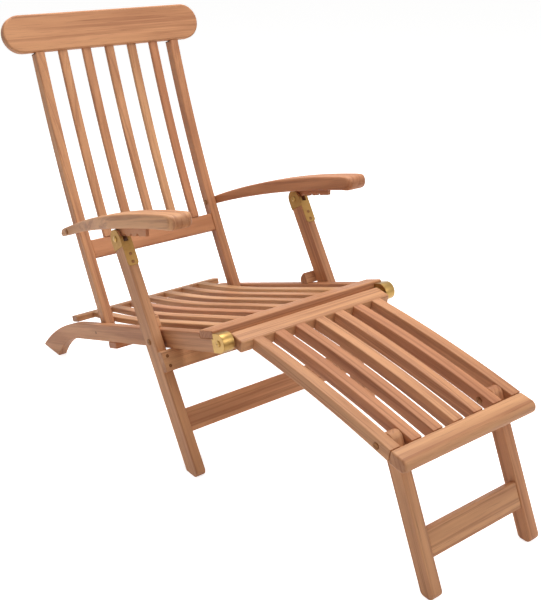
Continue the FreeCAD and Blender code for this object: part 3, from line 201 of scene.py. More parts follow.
class DeckRest(bpy.types.PropertyGroup):
    """The leg rest and its legs."""
    slope: angle("Slope", 9.2, "Fall of the leg rest towards its front")
    hub: length("Hub", 14.3, "Rear rail round its hinge")
    rail_reach: length("Rear rail reach", 37.0, "Hinge to the rear rail's front face")
    gap: length("Gap", 8.3, "Between the rear rail and a seat rail")
    long: length("Slat length", 427.0, "Slats between the two cross rails")
    arch: length("Arch", 7.2, "Arch of the slats")
    slat_wide: length("Slat width", 27.5, "Slat across the chair")
    slat_thick: length("Slat thickness", 28.0, "Slat, top to underside")
    step: length("Slat step", 57.8, "From one slat to the next")
    front_wide: length("Front rail width", 46.0, "Front rail, front to rear")
    front_thick: length("Front rail thickness", 30.0, "Front rail")
    lean: angle("Leg lean", 24.2, "Lean of the rest's legs, tops to the rear")
    leg_thick: length("Leg thickness", 27.5, "Leg across the chair")
    leg_deep: length("Leg depth", 34.0, "Leg, front to rear")
    rail_low: length("Stretcher height", 73.6, "Stretcher, from the floor along the leg")
    rail_wide: length("Stretcher width", 55.7, "Stretcher up the leg")
    rail_thick: length("Stretcher thickness", 20.0, "Stretcher, front to rear")
    rail_inset: length("Stretcher inset", 2.0, "Stretcher behind the legs' front faces")
    foot: length("Foot rounding", 12.0, "Rounding of the feet")


class DeckBrass(bpy.types.PropertyGroup):
    """Brass caps, saddles, bolts and screws."""
    sheet: length("Sheet", 1.6, "Brass of the caps and saddles")
    edge: length("Sheet edge", 0.48, "Rounding of the caps' and saddles' edges")
    strip_edge: length("Strip edge", 0.05, "Rounding of the caps' strips, under the cheeks")
    cap_reach: length("Cap reach", 24.0, "Cap from the hinge back along the rail")
    cheek: length("Saddle cheek", 25.0, "Saddle's cheeks below the pin")
    strap: length("Saddle strap", 74.0, "Saddle's front strap below the pin")
    strap_end: length("Strap end", 8.0, "Rounding of the strap's lower corners")
    pin: length("Bolt", 8.0, "Bolts and pins")
    head: length("Bolt head", 15.0, "Bolt heads")
    tall: length("Head height", 3.0, "Bolt heads")
    slot: length("Slot width", 1.7, "Driver's slot of a bolt head")
    slot_deep: length("Slot depth", 1.1, "Driver's slot of a bolt head")
    slack: length("Slack", 0.3, "Between a bolt's head and a piece that turns under it")
    leg_washer: length("Leg washer", 22.0, "Washers at the front legs")
    hinge_washer: length("Hinge washer", 19.0, "Washers at the leg rest's hinge")
    washer_gap: length("Washer gap", 0.1, "On each face of a washer")
    washer_edge: length("Washer edge", 0.5, "Rounding of a washer's rim")
    bore_gap: length("Bore gap", 0.05, "Between a washer's bore and its bolt")
    screw: length("Screw head", 8.0, "Screw heads")
    screw_tall: length("Screw height", 1.2, "Screw heads")
    screw_slot: length("Screw slot width", 1.19, "Driver's slot of a screw head")
    screw_slot_deep: length("Screw slot depth", 0.54, "Driver's slot of a screw head")
    strap_screws: pair("Strap screws", (0.62, 0.88), "Screws along a saddle's strap, as shares of it")
    stop_screws: pair("Stop board screws", (0.25, 0.75), "Screws down the stop board, as shares of it")
    tint: colour("Brass", "AC8A52", "Bare brass, a little tarnished")
    # Painted shade: the saddles' brass is darker than the bare brass, to dim the lamps' reflection on their
    # straps.
    shaded: colour("Dull brass", "A07C49", "Saddles, handled and tarnished")
    # Partly painted shade: the bolts' and screws' brass is brown like aged brass, and darker to stand for the
    # shadowed recesses round their heads.
    aged_shaded: colour("Aged brass", "7E573A", "Bolts and screws, gone brown")
    deep: colour("Tarnish", "7C5A2C", "Tarnish in the brushed brass")


class DeckTeak(bpy.types.PropertyGroup):
    """Colours of the wood and the rounding of its edges."""
    pale: colour("Pale", "DCA676", "Early wood of a pale board")
    warm: colour("Warm", "C5845A", "Early wood of a warm board")
    late: colour("Late wood", "884B2B", "Late wood lines")
    pore: colour("Pores", "5C3422", "Open pores")
    edge: length("Edge", 2.5, "Rounding of the boards' edges")
    soft_edge: length("Soft edge", 5.0, "Rounding of the head rail and front rail")
    hinge_edge: length("Hinge rail edge", 4.0, "Rounding of the leg rest's rear rail")
    stile_edge: length("Stile edge", 3.5, "Rounding of the stiles' long edges")
    stile_top: length("Stile top", 1.5, "Rounding of the stiles' upper corners")
    slat_edge: length("Slat edge", 3.0, "Rounding of the slats of the back and of the leg rest")
    stop_edge: length("Stop board edge", 2.0, "Rounding of the board across the front legs")
    rack_edge: length("Rack edge", 0.75, "Rounding of the arms' racks")


class DeckStage(bpy.types.PropertyGroup):
    """Floor, light and camera."""
    floor: colour("Floor", "F2F1EF", "Plain pale floor")
    glow: number("Floor glow", 0.78, "Light added to the floor where the camera sees it")
    sky: number("Sky", 0.23, "Soft light from all round")
    far_x: length("Camera across", -1281.0, "Camera place across the chair")
    far_y: length("Camera along", -1704.9, "Camera place along the chair")
    far_z: length("Camera height", 1230.5, "Camera above the floor")
    yaw: angle("Yaw", 37.73, "Camera turned from +Y towards +X")
    pitch: angle("Pitch", 20.66, "Camera turned down")
    roll: angle("Roll", -0.14, "Camera turned about its view")
    focal: number("Focal length", 947.2, "Focal length in pixels of the photograph")
    middle_x: number("Middle across", 273.3, "Pixel of the view's middle, from the left")
    middle_y: number("Middle down", 262.8, "Pixel of the view's middle, from the top")


def pivot(joint):
    """Place of a joint in the frame, along the chair and above the floor."""
    for row in frame["joints"]:
        if row["name"] == joint:
            return np.array(row["pos_m"][1:3], float)
    raise RuntimeError("no joint named " + joint)


def chosen(group):
    """The scene's settings of one group."""
    return getattr(bpy.context.scene, "deck_" + group)


class Direction:
    """A piece's own directions: u and v lie in the chair's YZ plane, turned by an angle about X."""

    def __init__(self, place, turn):
        self.place = np.array(place, float)
        self.along = np.array([math.cos(turn), math.sin(turn)])
        self.up = np.array([-math.sin(turn), math.cos(turn)])

    def point(self, u, v):
        """Chair coordinates (y, z) of a point (u, v)."""
        return self.place + self.along * u + self.up * v

    def solid(self, across, u, v):
        """Chair coordinates of arrays: x = across, (y, z) = place + along * u + up * v."""
        flat = self.place + np.outer(u, self.along) + np.outer(v, self.up)
        return np.column_stack([across, flat])

    def floor(self, u):
        """The v at which the floor cuts a line up the direction, at an offset u."""
        return (-self.place[1] - self.along[1] * u) / self.up[1]


def arc_centre(start, end, radius, side=1):
    """Centre of an arc that bulges to the right of its way from start to end, or to the left where side
    is -1: the middle between them, and sqrt(radius^2 - half^2) square to the way."""
    start, end = np.array(start, float), np.array(end, float)
    way = end - start
    half = np.linalg.norm(way) / 2.0
    right = np.array([way[1], -way[0]]) / (half * 2.0)
    return (start + end) / 2.0 - right * math.sqrt(max(radius * radius - half * half, 0.0)) * side


ARC_STEP = 6.0 * DEGREE
LONGEST = 25.0 * MM


def outline(corners):
    """Closed outline as an array. A corner is (u, v), or (u, v, radius, side) for an arc to the next
    corner that bulges outwards (1) or inwards (-1) of a counter-clockwise way round. An arc's points
    are centre + radius * (cos t, sin t), with t in even steps under ARC_STEP and LONGEST."""
    parts = []
    for row, corner in enumerate(corners):
        start, end = corner[:2], corners[(row + 1) % len(corners)][:2]
        if len(corner) == 2:
            parts.append([start])
            continue
        radius, side = corner[2:]
        centre = arc_centre(start, end, radius, side)
        first = math.atan2(*(start - centre)[::-1])
        last = math.atan2(*(end - centre)[::-1])
        turn = (last - first) % (2.0 * math.pi) if side > 0 else -((first - last) % (2.0 * math.pi))
        count = max(3, int(abs(turn) / ARC_STEP) + 1, int(abs(turn) * radius / LONGEST) + 1)
        t = first + turn * np.arange(count) / count
        parts.append(centre + radius * np.column_stack([np.cos(t), np.sin(t)]))
    return np.concatenate(parts)


CORNER_POINTS = 6
REACH_SHARE, EDGE_SHARE = 1.02, 0.48


def eased(points, radius, least=32.0 * DEGREE):
    """The outline with each corner that turns by more than least rounded: it becomes
    centre + r (cos t, sin t) between two points that lie trim = r / tan(half the corner) before and
    after it. Points of the outline within REACH_SHARE of that length go. Where every corner is sharp,
    as on a plain section, trim stays under EDGE_SHARE of the shorter edge beside the corner."""
    back = np.roll(points, 1, axis=0) - points
    ahead = np.roll(points, -1, axis=0) - points
    shorter = np.minimum(np.linalg.norm(back, axis=1), np.linalg.norm(ahead, axis=1))
    back /= np.linalg.norm(back, axis=1)[:, None]
    ahead /= np.linalg.norm(ahead, axis=1)[:, None]
    half = np.arccos(np.clip(np.sum(back * ahead, axis=1), -1.0, 1.0)) / 2.0
    sharp = half * 2.0 < math.pi - least
    reach = radius / np.tan(half[sharp]) * REACH_SHARE
    gaps = np.linalg.norm(points[:, None, :] - points[sharp][None, :, :], axis=2)
    clear = (gaps > reach[None, :]).all(axis=1)
    kept = []
    for row, point in enumerate(points):
        if not sharp[row]:
            kept += [point[None, :]] * int(clear[row])
            continue
        trim = radius / math.tan(half[row])
        if sharp.all():
            trim = min(trim, shorter[row] * EDGE_SHARE)
        r = trim * math.tan(half[row])
        middle = back[row] + ahead[row]
        centre = point + middle / np.linalg.norm(middle) * r / math.sin(half[row])
        first, last = point + back[row] * trim - centre, point + ahead[row] * trim - centre
        start = math.atan2(first[1], first[0])
        turn = (math.atan2(last[1], last[0]) - start + math.pi) % (2.0 * math.pi) - math.pi
        t = start + turn * np.linspace(0.0, 1.0, CORNER_POINTS)
        kept.append(centre + r * np.column_stack([np.cos(t), np.sin(t)]))
    return np.concatenate(kept)


def box_corners(u, v, wide, tall):
    """Corners of a rectangle from its lower left one, counter-clockwise."""
    return [(u, v), (u + wide, v), (u + wide, v + tall), (u, v + tall)]


def round_top(half, middle):
    """Corners of a half-round top about (0, middle), from its right side to its left."""
    return [(half, middle, half, 1), (0.0, middle + half, half, 1), (-half, middle)]


LEAST_SHARE = 0.35


def drawn_in(points, amount):
    """The outline drawn in: each point moves by amount * (n1 + n2) / (1 + n1 . n2), where n1 and n2 are
    the inward normals of the two edges that meet there. LEAST_SHARE holds back a sharp corner."""
    ahead = np.roll(points, -1, axis=0) - points
    ahead /= np.linalg.norm(ahead, axis=1)[:, None]
    normal = np.column_stack([-ahead[:, 1], ahead[:, 0]])
    before = np.roll(normal, 1, axis=0)
    share = 1.0 + np.sum(normal * before, axis=1)
    return points + amount * (normal + before) / np.maximum(share, LEAST_SHARE)[:, None]


def ring_faces(rings, count):
    """Quads between neighbouring rings of count points each, and the two end rings as caps."""
    ring, spot = np.meshgrid(np.arange(rings - 1), np.arange(count), indexing="ij")
    here = (ring * count + spot).ravel()
    beside = (ring * count + (spot + 1) % count).ravel()
    quads = np.column_stack([here, here + count, beside + count, beside])
    return quads, [np.arange(count), np.arange(count)[::-1] + (rings - 1) * count]


EDGE_STEPS = 4
SUPPORT = 0.35 * MM


def plate(points, low, high, edge):
    """A board from its outline. The outline is carried from low to high; near each face it is drawn in
    by edge * (1 - sin t) while it moves in by edge * (1 - cos t), for t over a quarter turn, and one
    more ring, SUPPORT inside the face's rim, keeps the face flat. Returns the way from low to high, the
    outline's two coordinates, the quads and the two caps."""
    t = np.linspace(0.0, math.pi / 2.0, EDGE_STEPS + 1)
    inset = np.concatenate([[edge + SUPPORT], edge * (1.0 - np.sin(t))])
    moved = np.concatenate([[0.0], edge * (1.0 - np.cos(t))])
    insets = np.concatenate([inset, inset[::-1]])
    spread = np.concatenate([low + moved, (high - moved)[::-1]])
    flat = np.concatenate([drawn_in(points, amount) for amount in insets])
    return (np.repeat(spread, len(points)), flat[:, 0], flat[:, 1]) + ring_faces(len(insets), len(points))


def soft_outline(corners, edge):
    """An outline with its corners rounded by as much as a plate's edges draw it in."""
    return eased(outline(corners), edge + SUPPORT * 2.0)


ASIDE = (0.0, 0.6, 0.8)


def facing(across, side, height, out, place):
    """Points on a place of the chair: height runs along out, across and side square to it and to each
    other. ASIDE is a way that no bolt or screw takes."""
    out = np.array(out, float) / np.linalg.norm(out)
    first = np.cross(out, ASIDE)
    first /= np.linalg.norm(first)
    return np.outer(across, first) + np.outer(side, np.cross(out, first)) + np.outer(height, out) + place


class Form:
    """Points and faces of one piece, gathered from one or more surfaces."""

    def __init__(self):
        self.points, self.faces, self.total = [], [], 0

    def add(self, points, quads, caps=()):
        """Add the points and faces of a surface."""
        self.points.append(points)
        self.faces += (quads + self.total).tolist()
        self.faces += [(cap + self.total).tolist() for cap in caps]
        self.total += len(points)
        return self

    def board(self, way, points, middle, wide, edge):
        """Add a plate that is drawn in a direction's u and v and lies across the chair."""
        across, u, v, quads, caps = plate(points, middle - wide / 2.0, middle + wide / 2.0, edge)
        return self.add(way.solid(across, u, v), quads, caps)

    def cheeks(self, way, points, middle, wide, metal):
        """Add two brass cheeks, one on each face of a board."""
        for face in FACES:
            self.board(way, points, middle + face * (wide + metal.sheet) / 2.0, metal.sheet, metal.edge)

    def sheet(self, way, points, low, high, middle, edge):
        """Add a plate that is drawn across the chair and up v, and runs along u from low to high."""
        u, across, v, quads, caps = plate(points, low, high, edge)
        return self.add(way.solid(across + middle, u, v), quads, caps)

    def turned(self, profile, place, axis, count):
        """Add a turned piece: each (h, r) of the profile becomes a ring (r cos t, r sin t, h) about an
        axis, and the two end rings close in a cap."""
        t = np.linspace(0.0, 2.0 * math.pi, count, endpoint=False)
        across, side = (np.outer(profile[:, 1], wave).ravel() for wave in (np.cos(t), np.sin(t)))
        height = np.repeat(profile[:, 0], count)
        return self.add(facing(across, side, height, axis, place), *ring_faces(len(profile), count))

    def head(self, shape, place, out):
        """Add a bolt's or screw's head on a place, facing out, with its slot turned by chance."""
        points, quads, caps = shape
        turn = DRAW.uniform(0.0, math.pi)
        across = points[:, 0] * math.cos(turn) - points[:, 1] * math.sin(turn)
        side = points[:, 0] * math.sin(turn) + points[:, 1] * math.cos(turn)
        return self.add(facing(across, side, points[:, 2], out, place), quads, caps)


SMOOTH = 34.0 * DEGREE
# The log is turned and shifted by chance within these, in radians and metres. A board that rises by
# UPRIGHT of its length takes the log's side from Y, and any other from Z.
LOG_TURN, LOG_SHIFT = (-0.9, 0.9), (1.0, 9.0)
UPRIGHT = 0.8


def finish_piece(name, node, form, body, finish, grain=None):
    """Make the mesh, turn its faces outwards, smooth it up to an angle, put it on its body and let it
    stand for a node of the frame. A piece with a grain gets its own place in the log."""
    points = np.concatenate(form.points)
    mesh = bpy.data.meshes.new(name)
    mesh.from_pydata(points.tolist(), [], form.faces)
    work = bmesh.new()
    work.from_mesh(mesh)
    bmesh.ops.recalc_face_normals(work, faces=work.faces)
    work.to_mesh(mesh)
    work.free()
    mesh.shade_smooth()
    mesh.set_sharp_from_angle(angle=SMOOTH)
    if grain is not None:
        stamp_grain(mesh, points, grain)
    mesh.materials.append(finish_named(finish))
    piece = bpy.data.objects.new(name, mesh)
    bpy.context.scene.collection.objects.link(piece)
    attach(piece, body)
    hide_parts(node)


def stamp_grain(mesh, points, grain):
    """Store three attributes: each point's place in the board's own log, (along, across, through) in
    metres, turned by LOG_TURN and shifted by LOG_SHIFT by chance; tone, a number for the whole board;
    and end, how far a face is end grain, |n . a|, where n is its normal and a the wood's direction."""
    along = np.array(grain, float) / np.linalg.norm(grain)
    side = np.cross(along, [0.0, 0.0, 1.0] if abs(along[2]) < UPRIGHT else [0.0, 1.0, 0.0])
    side /= np.linalg.norm(side)
    through = np.cross(along, side)
    turn = DRAW.uniform(*LOG_TURN)
    first = side * math.cos(turn) + through * math.sin(turn)
    second = through * math.cos(turn) - side * math.sin(turn)
    shift = DRAW.uniform(*LOG_SHIFT, 3)
    tone = np.full(len(points), DRAW.uniform(0.0, 1.0))
    place = (points - points.mean(axis=0)) @ np.column_stack([along, first, second]) + shift
    normals = np.empty(len(points) * 3, np.float32)
    mesh.vertex_normals.foreach_get("vector", normals)
    end = np.abs(normals.reshape(-1, 3) @ along)
    for name, kind, field, values in (
        ("grain", "FLOAT_VECTOR", "vector", place), ("tone", "FLOAT", "value", tone),
        ("end", "FLOAT", "value", end),
    ):
        held = mesh.attributes.new(name, kind, "POINT")
        held.data.foreach_set(field, values.astype(np.float32).ravel())


def node_of(tree, kind, place, settings=None, links=None):
    """Add a shader node. Settings go to its properties, to its sockets, or, as stops of (position,
    grey), to its colour ramp. A link comes from a socket, or from a node's first one."""
    node = tree.nodes.new(kind)
    node.location = place
    for key, value in (settings or {}).items():
        if key == "stops":
            band = node.color_ramp.elements
            while len(band) < len(value):
                band.new(0.5)
            for stop, (position, grey) in zip(band, value):
                stop.position, stop.color = position, (grey, grey, grey, 1.0)
        elif isinstance(key, str) and hasattr(node, key):
            setattr(node, key, value)
        else:
            node.inputs[key].default_value = value
    for key, source in (links or {}).items():
        tree.links.new(getattr(source, "outputs", [source])[0], node.inputs[key])
    return node


def new_material(name):
    """An empty material and its tree."""
    material = bpy.data.materials.new(name)
    material.use_nodes = True
    material.node_tree.nodes.clear()
    return material, material.node_tree


def solid_colour(tint):
    """A colour with full alpha."""
    return tuple(tint) + (1.0,)


def per_metre(*millimetres):
    """Scales of a pattern from its real sizes in millimetres."""
    return tuple(1.0 / (MM * size) for size in millimetres)


# Sizes of the wood's patterns in millimetres along, across and through the board: clouds of darker
# wood, late wood lines, and pores, which are wider than real ones so that they show. A board lies
# LOG_SHIFT from a pattern's start, so even the last digits change which part of it the board shows.
CLOUDS = (454.5455, 38.461538, 38.461538)
LINES = (833.3333, 6.6666667, 29.411765)
PORES = (71.428571, 1.0526316, 1.0526316)
# Sizes of the brass's patterns in millimetres: patches of tarnish, and brush marks along X.
TARNISH = 14.285714
BRUSHING = (16.666667, 0.45454545, 1.1111111)


def teak():
    """Teak, planed, sanded and oiled: straight brown late wood lines 2 to 6 mm apart that wander along
    the board, fine open pores drawn out along the grain, boards from pale gold to warm brown, darker
    end grain, and a silky low gloss. Each board carries its place in its own log."""
    wood = chosen("teak")
    material, tree = new_material("teak_oiled")
    log, tone, end = (
        node_of(tree, "ShaderNodeAttribute", (-1500, low), {"attribute_name": name}).outputs[socket]
        for low, name, socket in ((0, "grain", "Vector"), (-300, "tone", "Fac"), (520, "end", "Fac"))
    )
    tint = node_of(tree, "ShaderNodeMix", (-700, 300), {
        "data_type": "RGBA", 6: solid_colour(wood.pale), 7: solid_colour(wood.warm)}, {"Factor": tone})
    patterns = []
    for row, (size, noise, stops, share, darker) in enumerate((
        (CLOUDS, {"Detail": 3.0, "Roughness": 0.55}, [(0.38, 0.0), (0.68, 1.0)], 0.46, wood.late),
        (LINES, {"Detail": 5.0, "Roughness": 0.6, "Distortion": 0.25},
         [(0.50, 0.0), (0.62, 1.0), (0.70, 0.25)], 0.5, wood.late),
        (PORES, {"Detail": 2.0, "Roughness": 0.5}, [(0.60, 0.0), (0.74, 1.0)], 0.45, wood.pore),
    )):
        low, right = 200 - 260 * row, -500 + 200 * row
        drawn = node_of(tree, "ShaderNodeMapping", (-1300, low), {"Scale": per_metre(*size)}, {"Vector": log})
        patterns.append(node_of(
            tree, "ShaderNodeTexNoise", (-1100, low), dict(noise, Scale=1.0), {"Vector": drawn}))
        mask = node_of(tree, "ShaderNodeValToRGB", (-900, low), {"stops": stops}, {"Fac": patterns[row]})
        weight = node_of(tree, "ShaderNodeMath", (right, low), {"operation": "MULTIPLY", 1: share}, {0: mask})
        tint = node_of(tree, "ShaderNodeMix", (right, 400), {"data_type": "RGBA", 7: solid_colour(darker)},
                       {"Factor": weight, 6: tint.outputs[2]})
    steep = node_of(tree, "ShaderNodeMapRange", (-300, 620),
                    {"From Min": 0.45, "From Max": 1.0, "To Min": 0.0, "To Max": 0.42}, {"Value": end})
    tint = node_of(tree, "ShaderNodeMix", (100, 400), {"data_type": "RGBA", 7: solid_colour(wood.late)},
                   {"Factor": steep, 6: tint.outputs[2]})
    rough = node_of(tree, "ShaderNodeMapRange", (100, 0), {"To Min": 0.46, "To Max": 0.64},
                    {"Value": patterns[0]})
    bump = node_of(tree, "ShaderNodeBump", (100, -300), {"Strength": 0.35, "Distance": 0.4 * MM},
                   {"Height": patterns[2]})
    surface = node_of(tree, "ShaderNodeBsdfPrincipled", (300, 100), {"IOR": 1.5, "Specular IOR Level": 0.42},
                      {"Base Color": tint.outputs[2], "Roughness": rough, "Normal": bump})
    node_of(tree, "ShaderNodeOutputMaterial", (600, 100), None, {"Surface": surface})
    return material


def brass(name, tint_name, low):
    """Bare brass, pressed and brushed: warm yellow metal with faint tarnish and fine scratches. Its roughness
    starts at low. The shaded copy, of the saddles, is darker and rougher: painted shade that dims the lamps'
    reflection on their straps. The copy of the bolts and screws is partly aged brass gone brown and partly
    painted shade, darker to stand for the shadowed recesses round their heads."""
    metal = chosen("brass")
    material, tree = new_material(name)
    place = node_of(tree, "ShaderNodeTexCoord", (-1100, 0)).outputs["Object"]
    cloud = node_of(tree, "ShaderNodeTexNoise", (-900, 100),
                    {"Scale": per_metre(TARNISH)[0], "Detail": 4.0, "Roughness": 0.6}, {"Vector": place})
    brushed = node_of(tree, "ShaderNodeMapping", (-900, -150), {"Scale": per_metre(*BRUSHING)},
                      {"Vector": place})
    scratch = node_of(tree, "ShaderNodeTexNoise", (-700, -150), {"Scale": 1.0, "Detail": 2.0},
                      {"Vector": brushed})
    spread = node_of(tree, "ShaderNodeValToRGB", (-700, 100), {"stops": [(0.45, 0.0), (0.75, 1.0)]},
                     {"Fac": cloud})
    weight = node_of(tree, "ShaderNodeMath", (-500, 200), {"operation": "MULTIPLY", 1: 0.35}, {0: spread})
    tint = node_of(tree, "ShaderNodeMix", (-300, 100), {
        "data_type": "RGBA", 6: solid_colour(getattr(metal, tint_name)), 7: solid_colour(metal.deep)},
        {"Factor": weight})
    rough = node_of(tree, "ShaderNodeMapRange", (-300, -150), {"To Min": low, "To Max": low + 0.16},
                    {"Value": scratch})
    bump = node_of(tree, "ShaderNodeBump", (-300, -400), {"Strength": 0.12, "Distance": 0.2 * MM},
                   {"Height": scratch})
    surface = node_of(tree, "ShaderNodeBsdfPrincipled", (0, 0), {"Metallic": 1.0},
                      {"Base Color": tint.outputs[2], "Roughness": rough, "Normal": bump})
    node_of(tree, "ShaderNodeOutputMaterial", (300, 0), None, {"Surface": surface})
    return material


FINISHES = {}
# The saddles' darker brass is painted shade that dims their straps' reflection; the bolts' and screws' brown
# brass is partly painted shade for the recesses round their heads.
BRASSES = {
    "brass": ("brass_brushed", "tint", 0.26), "shaded": ("brass_shaded", "shaded", 0.50),
    "aged_shaded": ("brass_aged_shaded", "aged_shaded", 0.42),
}


def finish_named(name):
    """One of the chair's finishes, made when it is first asked for."""
    if name not in FINISHES:
        FINISHES[name] = teak() if name == "teak" else brass(*BRASSES[name])
    return FINISHES[name]


def board(node, form, body, grain):
    """A wooden piece, which stands for a node of the frame."""
    finish_piece("wood_" + node, node, form, body, "teak", grain)


def fitting(node, form, body, finish="brass"):
    """A brass piece, which stands for a node of the frame."""
    finish_piece("brass_" + node, node, form, body, finish)


def cross_board(node, body, way, section, wide, edge):
    """A board across the chair, from its section in a direction's u and v."""
    board(node, Form().board(way, soft_outline(section, edge), 0.0, wide, edge), body, ACROSS)


def side_boards(node, body, way, points, middle, wide, edge, grain):
    """Two like boards, one on the left and one on the right."""
    for side, sign in SIDES:
        board(node + "_" + side, Form().board(way, points, middle * sign, wide, edge), body, grain)


def row_of_boards(nodes, body, way, points, step, wide, edge, grain):
    """Like boards side by side, evenly spaced about the chair's middle."""
    for row, node in enumerate(nodes):
        middle = step * (row - (len(nodes) - 1) / 2.0)
        board(node, Form().board(way, points, middle, wide, edge), body, grain)


def numbered(node, count):
    """Names of like nodes, numbered from 1."""
    return ["%s_%d" % (node, row + 1) for row in range(count)]


def rail_way():
    """The direction of the seat rails, from the leg rest's hinge to the rear."""
    return Direction(pivot("leg_rest_tilt"), -chosen("seat").slope)


def rail_outside():
    """Width over the outer faces of the seat rails."""
    seat = chosen("seat")
    return seat.inside + seat.thick * 2.0


def leg_way():
    """The direction of the front legs: v runs up the leg from its bolt."""
    return Direction(pivot("frame_fold"), -chosen("legs").lean)


def leg_middle():
    """Middle of a front leg across the chair."""
    legs = chosen("legs")
    return rail_outside() / 2.0 + legs.off_rail + legs.thick / 2.0


def seat_rail_outline():
    """The side rail in its own direction: a straight board whose rear end bends down to the floor."""
    seat, metal = chosen("seat"), chosen("brass")
    half = seat.deep / 2.0
    nose = half - metal.sheet
    slope, floor_at_hinge = math.tan(seat.slope), rail_way().floor(0.0)

    def foot(start, level, bend):
        """Where an arc that starts level at (start, level) and bends down meets the floor: the larger u
        of the two at which (u - start)^2 + (v - level + bend)^2 = bend^2, with v on the floor."""
        a = 1.0 + slope * slope
        b = -2.0 * start + 2.0 * slope * (floor_at_hinge - level + bend)
        c = start * start + (floor_at_hinge - level + bend) ** 2 - bend * bend
        u = (-b + math.sqrt(b * b - 4.0 * a * c)) / (2.0 * a)
        return u, floor_at_hinge + u * slope
    heel = foot(seat.horn_under, -half, seat.horn_under_bend)
    toe = foot(seat.horn_top, half, seat.horn_top_bend)
    bottom = half + seat.board_rise - seat.board_thick
    first = seat.board_start
    last = first + seat.board_wide
    return [
        (first, nose), (0.0, nose, nose, 1), (-nose, 0.0, nose, 1), (0.0, -nose),
        (metal.cap_reach, -nose), (metal.cap_reach + metal.sheet * 2.0, -half),
        (seat.horn_under, -half, seat.horn_under_bend, -1), heel, toe + (seat.horn_top_bend, 1),
        (seat.horn_top, half), (last, half), (last, bottom), (first, bottom),
    ]


class DECKCHAIR_OT_seat_rails(bpy.types.Operator):
    """Side rails with their curved rear feet"""
    bl_idname = "deckchair.seat_rails"
    bl_label = "Seat rails"

    def execute(self, context):
        seat, wood, way = chosen("seat"), chosen("teak"), rail_way()
        points = soft_outline(seat_rail_outline(), wood.edge)
        side_boards("seat_rail", "seat_frame", way, points, (seat.inside + seat.thick) / 2.0, seat.thick,
                    wood.edge, (0.0, *way.along))
        return {"FINISHED"}


class DECKCHAIR_OT_seat_boards(bpy.types.Operator):
    """Cross boards of the seat and the blocks behind the front legs"""
    bl_idname = "deckchair.seat_boards"
    bl_label = "Seat boards"

    def execute(self, context):
        seat, wood, way = chosen("seat"), chosen("teak"), rail_way()
        half, over = seat.deep / 2.0, rail_outside()
        under_board = half + seat.board_rise - seat.board_thick
        for node, start, low, long, tall, wide in (
            ("seat_front_board", seat.board_start, under_board, seat.board_wide, seat.board_thick, over),
            ("seat_rear_rail", seat.rear_start, half, seat.rear_wide, seat.rear_thick,
             over - seat.rear_short * 2.0),
            ("seat_under_bar", seat.bar_start, -half - seat.bar_thick, seat.bar_wide, seat.bar_thick, over),
        ):
            cross_board(node, "seat_frame", way, box_corners(start, low, long, tall), wide, wood.edge)
        self.blocks()
        return {"FINISHED"}

    def blocks(self):
        """Rounded block on each rail, behind the front leg."""
        seat, legs, wood = chosen("seat"), chosen("legs"), chosen("teak")
        half, lean = seat.deep / 2.0, legs.lean - seat.slope
        reach = np.linalg.norm(pivot("frame_fold") - pivot("leg_rest_tilt"))
        start = reach + (half * math.sin(lean) + legs.deep / 2.0) / math.cos(lean) + seat.gap
        end, top = start + seat.block_long, half + seat.block_tall
        points = soft_outline([
            (start + seat.block_tall * math.tan(lean), top), (start, half), (end, half),
            (end, half + seat.block_face, seat.block_long, 1),
        ], wood.edge)
        inner, outer = seat.inside / 2.0, leg_middle()
        form = Form()
        for side, sign in SIDES:
            form.board(rail_way(), points, (inner + outer) / 2.0 * sign, outer - inner, wood.edge)
        board("stop_blocks", form, "seat_frame", ACROSS)


class DECKCHAIR_OT_seat_slats(bpy.types.Operator):
    """Seven dished seat slats"""
    bl_idname = "deckchair.seat_slats"
    bl_label = "Seat slats"

    def execute(self, context):
        seat, wood, way = chosen("seat"), chosen("teak"), rail_way()
        half, thick, rise = seat.deep / 2.0, seat.slat_thick, seat.rear_thick
        front, flat, rear = seat.board_start + seat.board_wide, seat.slat_flat, seat.rear_start
        run = rear - flat
        bend = (run * run + rise * rise) / (rise * 2.0)
        under = half + bend - math.sqrt((bend + thick) ** 2 - run * run)
        points = outline([
            (rear, half + rise, bend, -1), (flat, half), (front, half), (front, half - thick),
            (flat, half - thick, bend + thick, 1), (rear, under),
        ])
        row_of_boards(numbered("seat_slat", SEAT_SLATS), "seat_frame", way, points, seat.slat_step,
                      seat.slat_wide, wood.edge, (0.0, *way.along))
        return {"FINISHED"}


class DECKCHAIR_OT_rail_caps(bpy.types.Operator):
    """Brass caps on the front ends of the side rails: a bent strip and two cheeks"""
    bl_idname = "deckchair.rail_caps"
    bl_label = "Rail caps"

    def execute(self, context):
        seat, metal, way = chosen("seat"), chosen("brass"), rail_way()
        half, reach = seat.deep / 2.0, metal.cap_reach
        low = half + seat.board_rise - seat.board_thick - seat.gap
        start, inner = seat.board_start - seat.gap, half - metal.sheet
        outside = [(start, half), (0.0, half, half, 1), (-half, 0.0, half, 1), (0.0, -half), (reach, -half)]
        cheek = outline(outside + [(reach, low), (start, low)])
        strip = outline(outside + [
            (reach, -inner), (0.0, -inner, inner, -1), (-inner, 0.0, inner, -1), (0.0, inner), (start, inner),
        ])
        form = Form()
        for side, sign in SIDES:
            middle = (seat.inside + seat.thick) / 2.0 * sign
            form.cheeks(way, cheek, middle, seat.thick, metal)
            form.board(way, strip, middle, seat.thick, metal.strip_edge)
        fitting("rail_caps", form, "seat_frame")
        return {"FINISHED"}


# The corners of the feet turn by more than this, and those below the round tops by less.
LEG_CORNER = 60.0 * DEGREE


def leg_stretcher(node, body, way, legs, deep, wide):
    """The rail between two legs, a little above the floor."""
    section = box_corners(legs.rail_inset - deep / 2.0, legs.rail_low + way.floor(0.0), legs.rail_thick,
                          legs.rail_wide)
    cross_board(node, body, way, section, wide, chosen("teak").edge)


